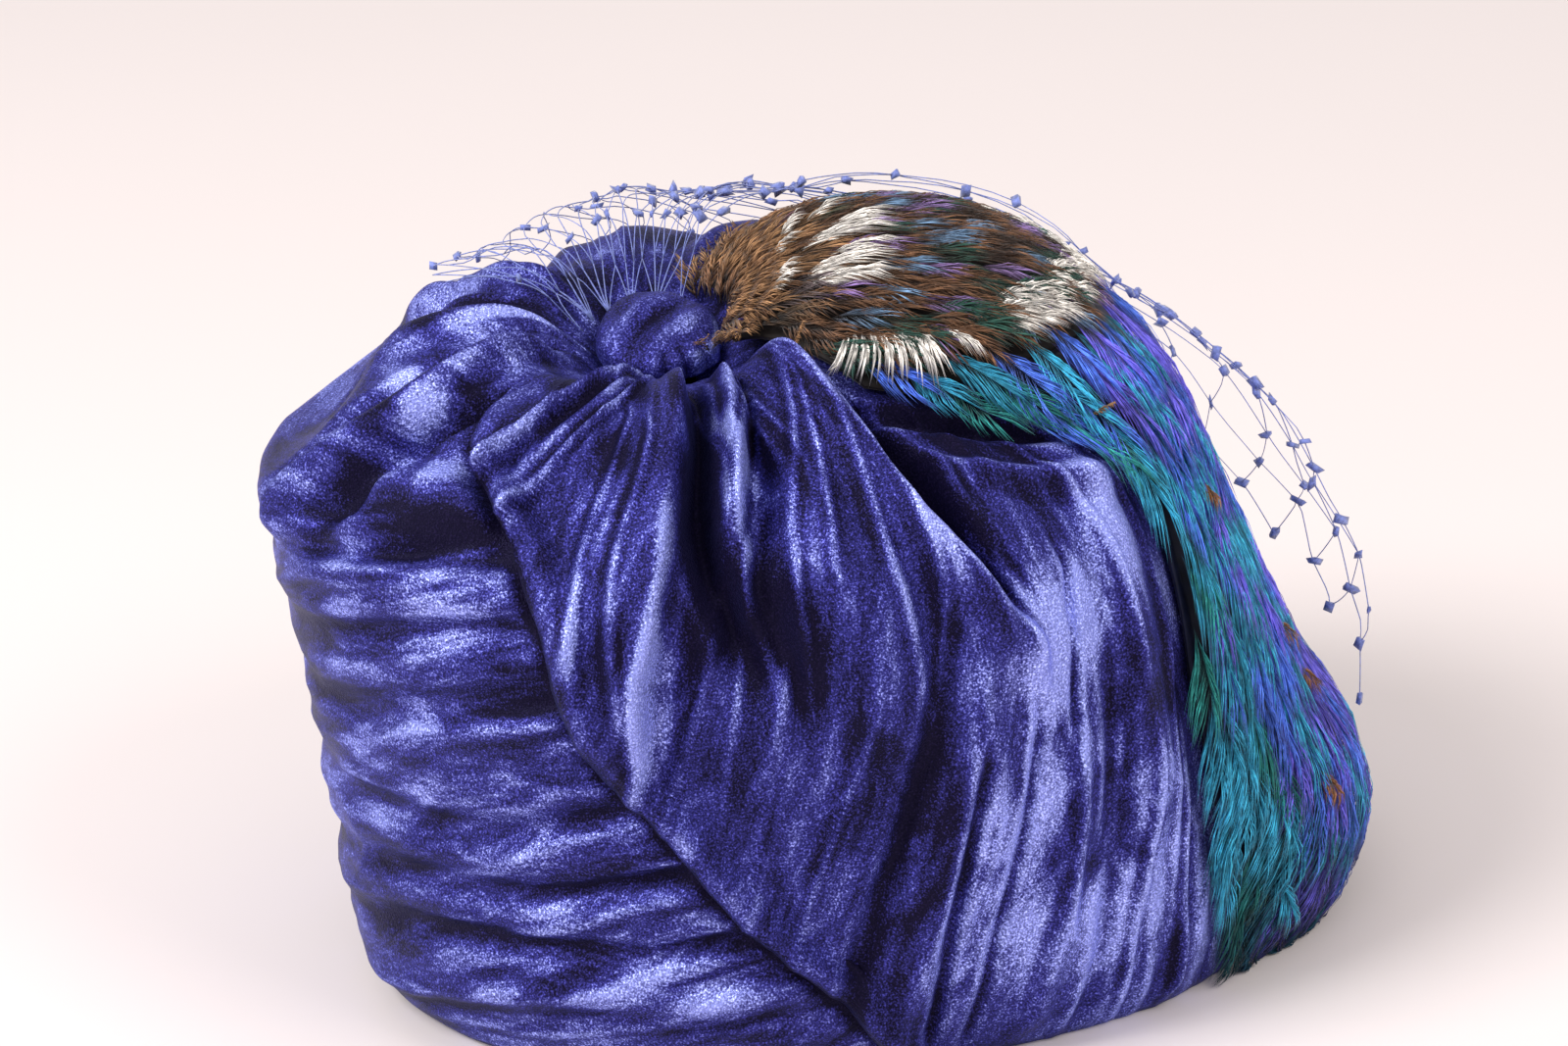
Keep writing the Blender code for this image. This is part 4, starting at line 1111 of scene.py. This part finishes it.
def feather_material(name, metallic, roughness, sheen):
    nodes = Nodes(name)
    mottle = nodes.noise(nodes.place(), 420.0, 3.0, 0.6)
    shade = nodes.ramp(mottle, ((0.35, 0.65), (0.68, 1.35)))
    colour = nodes.multiply(nodes.attribute("tint", "Color"), shade)
    nodes.shade(base_color=colour, metallic=metallic, roughness=roughness, sheen_weight=sheen,
                sheen_roughness=0.4, specular_ior_level=0.25)
    return nodes.material


def collar_edge(offset):
    """The edge of a backing that runs along the collar, at an offset from its middle."""
    def up_at(share):
        return collar_middle(BACKING_NEAR - share * BACKING_SPAN) + offset
    return up_at


def level_edge(up):
    """The edge of a backing that runs level."""
    def up_at(share):
        return np.full_like(share, up)
    return up_at


def feather_piece(part, rows, rng, low, high, colour):
    """One piece of feathers: all its barbs on a thin dark backing."""
    base = wall_mesh(f"feather_{part}_base", *BACKING_GRIDS[part], backing(low, high, colour))
    mesh = join_mesh(f"feather_{part}", feather_barbs(rows, rng, *BARBS[part]), base)
    material = feather_material(f"{part}_down", *FEATHER_LOOKS[part])
    new_mesh_object(f"feather_{part}", mesh, material, f"{part}_feather", f"{part}_feathers")


def crown_rows(short, rng):
    """Brown, tan and violet feathers on the crown, with the white ones laid over them."""
    rows = []
    for turn, up in scatter(rng, *CROWN_COURSES):
        if up < collar_middle(turn) + 0.4 * COLLAR_HALF:
            continue
        fluffy = float(smooth((up - 0.86) / 0.05))
        front = float(smooth((30 - turn) / 20) * smooth((0.84 - up) / 0.05))
        pick = rng.uniform()
        choices = ((0.58 - 0.2 * front, BROWN), (0.70, DARK_BROWN), (0.82, MAUVE), (0.92, SLATE),
                   (1.0, MOSS))
        tip = drawn(choices, pick)
        tip = tip * (1 - fluffy) + np.array(TAN if pick < 0.5 else BROWN) * fluffy
        middle = np.array(DARK_BROWN) * 0.5 + 0.5 * tip
        heading = rng.normal(0, 8) - 12 * front + 0.25 * turn * fluffy
        length = short * rng.uniform(0.85, 1.15)
        width = WIDTHS["crown"] * rng.uniform(0.8, 1.2)
        rows += laid([(turn, up, heading, length, width)], LIFTS["crown"], DARK_BROWN, middle, tip)
    for turn, up in zip(np.linspace(58, -52, START_FEATHERS), cycle((0.945, 0.93, 0.915))):
        start = (turn, up, rng.normal(0, 14) + 0.3 * turn, LENGTHS["start"], WIDTHS["start"])
        rows += laid([start], LIFTS["start"], DARK_BROWN, BROWN, TAN)
    fan = [(51 - 6 * share, 0.806 - 0.030 * share, 56 - 30 * share, LENGTHS["fan"], WIDTHS["fan"])
           for share in np.arange(FAN_BARBS) / (FAN_BARBS - 1)]
    return rows + laid(WHITE_FEATHERS, LIFTS["white"], WHITE, WHITE, WHITE) \
        + laid(fan, LIFTS["fan"], WHITE, WHITE, WHITE)


def collar_rows(rng):
    """The white band, with a few dark feathers in it."""
    rows = []
    for k in range(COLLAR_FEATHERS):
        turn = COLLAR_NEAR - COLLAR_SPAN * (k + 0.5) / COLLAR_FEATHERS + rng.normal(0, 0.8)
        up = float(collar_middle(turn)) + COLLAR_HALF * rng.uniform(0.4, 1.5)
        white = COLLAR_WHITE[0] < turn < COLLAR_WHITE[1] and rng.uniform() < 0.88
        tip = WHITE if white else BROWN if rng.uniform() < 0.4 else MOSS
        heading = rng.normal(0, 7) - 30 * float(smooth((turn + 15) / 25)) * (turn < 45)
        band = (turn, up, heading, LENGTHS["collar"] * rng.uniform(0.7, 1.2), WIDTHS["collar"])
        rows += laid([band], LIFTS["collar"], DARK_BROWN, tip, tip)
    return rows


def breast_rows(long, rng):
    """The long feathers down the front, with the copper tips, the quill ends and the hem's one."""
    rows = []
    for turn, up in scatter(rng, *BREAST_COURSES):
        if up > collar_middle(turn) + 0.7 * COLLAR_HALF:
            continue
        main = breast_colour(turn, up, rng)
        root = np.array(NAVY) * 0.4 + 0.6 * main
        shorter = 1 - 0.35 * float(smooth((turn - 46) / 8))
        length = long * rng.uniform(0.85, 1.15) * shorter
        heading = breast_lean(turn, up) + rng.normal(0, 4)
        width = WIDTHS["breast"] * rng.uniform(0.8, 1.2)
        rows += laid([(turn, up, heading, length, width)], LIFTS["breast"], root, main, main)
    return rows + laid(COPPER_FEATHERS, LIFTS["copper"], DARK_BROWN, COPPER, COPPER) \
        + laid(QUILL_ENDS, LIFTS["quill"], TAN, TAN, TAN) \
        + laid([HEM_FEATHER[:5]], HEM_FEATHER[5], NAVY, TEAL, TEAL)


# The net's threads at the button lie in bunches, and a tuft's three sides are in metres.
BUNCHES = 5
TUFT = np.array((0.0026, 0.0019, 0.0011))
VEIL_SEED = 5
THREAD_SIDES = 4
THREAD_STEPS = 6
# How far the knots stray: at the button, aside in cells, and up as a share of the net
STRAY_TOP = 0.006
STRAY_SIDE = 0.10
STRAY_UP = 0.01


def veil_top():
    """How far up the drape the veil's gathered edge lies."""
    ups = np.linspace(0.85, 1, 61)
    radii = np.linalg.norm((crown(270, ups) - crown(90, ups))[:, :2], axis=1) / 2
    return float(np.interp(VEIL_EDGE_RADIUS, radii[::-1], ups[::-1]))


def veil_edge(share):
    """How far up the drape the net's free edge lies, from its back end to its front."""
    back = VEIL_EDGE[0][0]
    foot = back + share * (VEIL_EDGE[-1][0] - back)
    return np.interp(foot, column(VEIL_EDGE, 0), column(VEIL_EDGE, 1))


def veil_point(share, rows):
    """The veil's surface, from its back end (share 0) round to the front (share 1)."""
    back = VEIL_EDGE[0][0]
    edge = veil_edge(share)
    top = veil_top()
    up = edge + (top - edge) * rows
    turn = back + share * (np.interp(up, column(VEIL_FRONT, 0), column(VEIL_FRONT, 1)) - back)
    front = smooth((turn - 268) / 60)
    bow = VEIL_STAND * front * np.interp(up, column(VEIL_BOW, 0), column(VEIL_BOW, 1))
    folds = np.where(turn < seam_turn(up), side_rise(turn, up), back_rise(turn, up))
    under = np.maximum(folds, 0) + pad_height(turn, up)
    loft = VEIL_LOFT * smooth((turn - 228) / 20) * smooth((up - 0.6) / 0.15)
    rest = 0.0009 + (VEIL_REST + loft) * smooth((top - up) / 0.09)
    return over_crown(turn, up, under + rest + bow)


def tubes(paths, radius):
    """Closed thin tubes along many paths of equal length."""
    sides = THREAD_SIDES
    count, length = paths.shape[:2]
    forward = np.gradient(paths, axis=1)
    forward /= np.maximum(np.linalg.norm(forward, axis=2, keepdims=True), 1e-9)
    up = np.tile((0.13, 0.27, 0.95), (count, length, 1))
    side = np.cross(forward, up)
    side /= np.maximum(np.linalg.norm(side, axis=2, keepdims=True), 1e-9)
    over = np.cross(side, forward)
    points = []
    for k in range(sides):
        a = 2 * math.pi * k / sides
        points.append(paths + radius * (math.cos(a) * side + math.sin(a) * over))
    points = np.stack(points, 2).reshape(count, length * sides, 3)
    one = []
    for i in range(length - 1):
        for k in range(sides):
            a, b = i * sides + k, i * sides + (k + 1) % sides
            one += [(a, b, b + sides), (a, b + sides, a + sides)]
    for k in range(1, sides - 1):
        one += [(0, k + 1, k), ((length - 1) * sides, (length - 1) * sides + k,
                                (length - 1) * sides + k + 1)]
    one = np.array(one)
    faces = (np.arange(count)[:, None, None] * length * sides + one[None]).reshape(-1, 3)
    return points.reshape(-1, 3), faces


class VelvetSettings(PropertyGroup):
    # The dark and bright colours are where the velvet's painted shade and painted highlights end up.
    dark: FloatVectorProperty(
        name="Dark nap", description="Colour where the pile lies away from the light",
        subtype="COLOR", default=(0.0062, 0.0042, 0.017))
    middle: FloatVectorProperty(
        name="Velvet", description="Colour of the velvet", subtype="COLOR",
        default=(0.036, 0.035, 0.225))
    bright: FloatVectorProperty(
        name="Bright nap", description="Colour where the pile lies towards the light",
        subtype="COLOR", default=(0.330, 0.380, 0.960))
    grain: FloatProperty(
        name="Grain", description="Length of a streak of pile", default=0.0010, unit="LENGTH")
    button: FloatProperty(
        name="Button", description="Diameter of the covered button", default=0.0270,
        unit="LENGTH")
    tilt: FloatProperty(
        name="Button tilt", description="How far the button leans to the wearer's right",
        default=math.radians(20.0), subtype="ANGLE")


class FeatherSettings(PropertyGroup):
    seed: IntProperty(name="Seed", description="Order of the feathers' variation", default=7)
    short: FloatProperty(
        name="Crown feather", description="Length of a feather on the crown", default=0.017,
        unit="LENGTH")
    long: FloatProperty(
        name="Breast feather", description="Length of a feather down the front", default=0.036,
        unit="LENGTH")


class VeilSettings(PropertyGroup):
    thread: FloatProperty(
        name="Thread", description="Diameter of the net's thread", default=0.00026, unit="LENGTH")
    cells: IntProperty(name="Cells", description="Cells of net along its free edge", default=18)
    cell: FloatProperty(
        name="Cell", description="Length of a cell of net", default=0.0118, unit="LENGTH")
    colour: FloatVectorProperty(
        name="Net", description="Colour of the net", subtype="COLOR",
        default=(0.170, 0.220, 0.570))


class StageSettings(PropertyGroup):
    floor: FloatVectorProperty(
        name="Floor", description="Colour of the floor", subtype="COLOR",
        default=(0.86, 0.79, 0.775))
    light: FloatProperty(name="Light", description="Power of the main light in watts", default=20.0)
    fill: FloatProperty(name="Fill", description="Strength of the sky", default=0.66)
    azimuth: FloatProperty(
        name="Camera turn", description="Turn of the camera round the hat",
        default=math.radians(262), subtype="ANGLE")
    elevation: FloatProperty(
        name="Camera height", description="Angle of the camera over the floor",
        default=math.radians(22), subtype="ANGLE")
    roll: FloatProperty(
        name="Camera roll", description="Roll of the camera", default=math.radians(-3.1),
        subtype="ANGLE")
    distance: FloatProperty(
        name="Distance", description="From the camera to the hat", default=1.15, unit="LENGTH")
    lens: FloatProperty(name="Lens", description="Focal length in millimetres", default=117.9)
    shift: FloatVectorProperty(
        name="Shift", description="How far the picture is shifted right and up", size=2,
        default=(-0.0164, 0.0335))


class HAT_OT_velvet(Operator):
    """Make the two velvet panels with their pleats, creases and lapped seam"""
    bl_idname = "hat.velvet"
    bl_label = "Velvet panels"

    def execute(self, context):
        velvet = context.scene.hat_velvet
        material = velvet_material("crushed_velvet", velvet)
        side = wall_mesh("velvet_side", *SIDE_GRID, place_side)
        piece = new_mesh_object("velvet_side", side, material, "side_velvet", "side_panel")
        back = wall_mesh("velvet_back", *BACK_GRID, place_back)
        piece = new_mesh_object("velvet_back", back, material, "back_velvet", "back_panel")
        return {"FINISHED"}


class HAT_OT_button(Operator):
    """Make the covered button on its stem"""
    bl_idname = "hat.button"
    bl_label = "Covered button"

    def execute(self, context):
        velvet = context.scene.hat_velvet
        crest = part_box("button")[1][2]
        gather = crown(np.arange(0, 360, 10), 1.0).mean(axis=0)
        seat = crest - gather[2] - BUTTON_RISE - BUTTON_SINK
        middle = gather + np.array((-math.tan(BUTTON_LEAN) * seat, 0, seat))
        mesh = button_mesh(velvet.button, math.degrees(velvet.tilt))
        points = np.empty(len(mesh.vertices) * 3)
        mesh.vertices.foreach_get("co", points)
        points = points.reshape(-1, 3) + middle
        mesh.vertices.foreach_set("co", points.ravel())
        material = velvet_material("button_velvet", velvet)
        new_mesh_object("covered_button", mesh, material, "button_velvet", "button")
        return {"FINISHED"}


class HAT_OT_feathers(Operator):
    """Lay the feathers of the crown, the collar and the breast"""
    bl_idname = "hat.feathers"
    bl_label = "Feathers"

    def execute(self, context):
        settings = context.scene.hat_feathers
        rng = np.random.default_rng(settings.seed)
        clear = COLLAR_HALF + PIECE_GAP
        feather_piece("crown", crown_rows(settings.short, rng), rng,
                      collar_edge(clear), level_edge(PAD_TOP), BACKING)
        feather_piece("collar", collar_rows(rng), rng,
                      collar_edge(-COLLAR_HALF), collar_edge(COLLAR_HALF), BACKING)
        feather_piece("breast", breast_rows(settings.long, rng), rng,
                      level_edge(BREAST_FOOT), collar_edge(-clear), NAVY)
        return {"FINISHED"}


class HAT_OT_veil(Operator):
    """Fan the dotted net from the button over the far side and the front"""
    bl_idname = "hat.veil"
    bl_label = "Net veil"

    def execute(self, context):
        settings = context.scene.hat_veil
        rng = np.random.default_rng(VEIL_SEED)
        cells = settings.cells
        top = veil_top()
        step = settings.cell / DRAPE_LENGTH
        knots = {}
        for j in range(int((top - VEIL_EDGE[-1][1]) / step) + 2):
            up = top - j * step
            for i in range(cells + 1):
                share = (i + 0.5 * (j % 2)) / cells
                edge = veil_edge(share)
                if share > 1 or up < edge - 0.45 * step:
                    continue
                if j == 0:
                    share = np.clip(round(share * BUNCHES) / BUNCHES + rng.normal(0, STRAY_TOP), 0, 1)
                elif 0 < share < 1:
                    share += rng.normal(0, STRAY_SIDE) / cells
                stray = rng.normal(0, STRAY_UP) * (j > 0)
                row = np.clip((up - edge) / (top - edge) + stray, 0, 1)
                knots[i, j] = (share, row)
        paths = []
        for (i, j), here in knots.items():
            for di in ((0, -1) if j % 2 == 0 else (0, 1)):
                there = knots.get((i + di, j + 1))
                if there is None:
                    continue
                s = np.linspace(0, 1, THREAD_STEPS)
                paths.append(np.stack((here[0] + (there[0] - here[0]) * s,
                                       here[1] + (there[1] - here[1]) * s), -1))
        paths = np.array(paths)
        laid = veil_point(paths[..., 0].ravel(), paths[..., 1].ravel()).reshape(*paths.shape[:2], 3)
        points, faces = tubes(laid, settings.thread / 2)
        mesh = bpy.data.meshes.new("net_veil")
        bm = bmesh.new()
        # Below the first two rows, every knot at the front has a tuft, and one in four at the back
        for (_, j), (share, row) in knots.items():
            spread = float(smooth((share - 0.36) / 0.36))
            if j < 2 or rng.uniform() > 0.24 + 0.76 * spread:
                continue
            at = veil_point(np.array([share]), np.array([row]))[0]
            made = bmesh.ops.create_cube(bm, size=1.0)["verts"]
            size = TUFT * rng.uniform(0.75, 1.2, 3) * (0.7 + 0.3 * spread)
            spin = Quaternion(rng.normal(0, 1, 4)).normalized()
            for vert in made:
                crumple = Vector(vert.co * (1 + 0.25 * rng.normal()))
                vert.co = spin @ Vector([crumple[k] * size[k] for k in range(3)]) + Vector(at)
        bmesh.ops.triangulate(bm, faces=bm.faces[:])
        dot_points = np.array([vert.co[:] for vert in bm.verts])
        bm.verts.index_update()
        dot_faces = np.array([[vert.index for vert in face.verts] for face in bm.faces])
        bm.free()
        mesh.from_pydata(np.concatenate((points, dot_points)), [],
                         faces.tolist() + (dot_faces + len(points)).tolist())
        nodes = Nodes("net_thread")
        fuzz = nodes.noise(nodes.place(), 900.0, 2.0, 0.6)
        colour = nodes.ramp(fuzz, ((0.35, [0.7 * c for c in settings.colour]),
                                   (0.65, [min(1, 1.35 * c) for c in settings.colour])))
        nodes.shade(base_color=colour, roughness=0.6, sheen_weight=0.4)
        new_mesh_object("net_veil", mesh, nodes.material, "net", "veil")
        return {"FINISHED"}


class HAT_OT_stage(Operator):
    """Set the floor, the soft studio light and the camera"""
    bl_idname = "hat.stage"
    bl_label = "Stage"

    def execute(self, context):
        stage = context.scene.hat_stage
        scene = context.scene
        bm = bmesh.new()
        floor_reach = 6.0
        bmesh.ops.create_grid(bm, x_segments=1, y_segments=1, size=floor_reach)
        mesh = bpy.data.meshes.new("floor")
        bm.to_mesh(mesh)
        bm.free()
        nodes = Nodes("pale_floor")
        tone = nodes.noise(nodes.place(), 2.0, 2.0)
        colour = nodes.ramp(tone, ((0.3, [0.98 * c for c in stage.floor]), (0.7, stage.floor[:])))
        nodes.shade(base_color=colour, roughness=0.85)
        mesh.materials.append(nodes.material)
        floor = bpy.data.objects.new("floor", mesh)
        scene.collection.objects.link(floor)

        world = bpy.data.worlds.new("studio")
        world.use_nodes = True
        sky = world.node_tree.nodes["Background"].inputs
        sky["Color"].default_value = (1.0, 0.96, 0.95, 1)
        sky["Strength"].default_value = stage.fill
        scene.world = world
        aim_height = 0.08
        centre = Vector(RIM_CENTRE) + Vector((0, 0, aim_height))
        lamps = (
            # name, place from the hat, size, share of the light, colour
            ("right", (-0.95, -0.80, 1.15), 0.8, 0.45, (1.0, 0.96, 0.93)),
            ("left", (-0.45, 1.30, 1.35), 0.9, 1.50, (1.0, 0.985, 0.99)),
        )
        for name, place, size, share, colour in lamps:
            light = bpy.data.lights.new(name, "AREA")
            light.shape = "DISK"
            light.size = size
            light.energy = stage.light * share
            light.color = colour
            lamp = bpy.data.objects.new(name, light)
            lamp.location = centre + Vector(place)
            lamp.rotation_euler = (-Vector(place)).to_track_quat("-Z", "Y").to_euler()
            scene.collection.objects.link(lamp)

        back = Vector((math.sin(stage.azimuth) * math.cos(stage.elevation),
                       -math.cos(stage.azimuth) * math.cos(stage.elevation),
                       math.sin(stage.elevation)))
        camera = bpy.data.objects.new("camera", bpy.data.cameras.new("camera"))
        camera.data.sensor_width = 36.0
        camera.data.lens = stage.lens
        camera.data.shift_x, camera.data.shift_y = stage.shift
        camera.location = centre + back * stage.distance
        camera.rotation_mode = "QUATERNION"
        camera.rotation_quaternion = (-back).to_track_quat("-Z", "Y") \
            @ Quaternion((0, 0, 1), stage.roll)
        scene.collection.objects.link(camera)
        scene.camera = camera
        scene.view_settings.view_transform = "Standard"
        return {"FINISHED"}


class HAT_PT_panel(Panel):
    """Lists the pieces of the hat in the sidebar"""
    bl_label = "Veiled hat"
    bl_idname = "HAT_PT_panel"
    bl_space_type = "VIEW_3D"
    bl_region_type = "UI"
    bl_category = "Hat"

    def draw(self, context):
        groups = (
            ("hat_velvet", ("hat.velvet", "hat.button")),
            ("hat_feathers", ("hat.feathers",)),
            ("hat_veil", ("hat.veil",)),
            ("hat_stage", ("hat.stage",)),
        )
        for group, operators in groups:
            box = self.layout.box()
            settings = getattr(context.scene, group)
            for name in settings.bl_rna.properties.keys():
                if name not in {"rna_type", "name"}:
                    box.prop(settings, name)
            for operator in operators:
                box.operator(operator)


CLASSES = (VelvetSettings, FeatherSettings, VeilSettings, StageSettings, HAT_OT_velvet,
           HAT_OT_button, HAT_OT_feathers, HAT_OT_veil, HAT_OT_stage, HAT_PT_panel)
GROUPS = {"hat_velvet": VelvetSettings, "hat_feathers": FeatherSettings,
          "hat_veil": VeilSettings, "hat_stage": StageSettings}


def register():
    for cls in CLASSES:
        bpy.utils.register_class(cls)
    for name, group in GROUPS.items():
        setattr(bpy.types.Scene, name, PointerProperty(type=group))


def unregister():
    for name in GROUPS:
        delattr(bpy.types.Scene, name)
    for cls in reversed(CLASSES):
        bpy.utils.unregister_class(cls)


def main():
    register()
    bpy.ops.hat.velvet()
    bpy.ops.hat.button()
    bpy.ops.hat.feathers()
    bpy.ops.hat.veil()
    bpy.ops.hat.stage()
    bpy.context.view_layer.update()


if __name__ == "__main__":
    main()
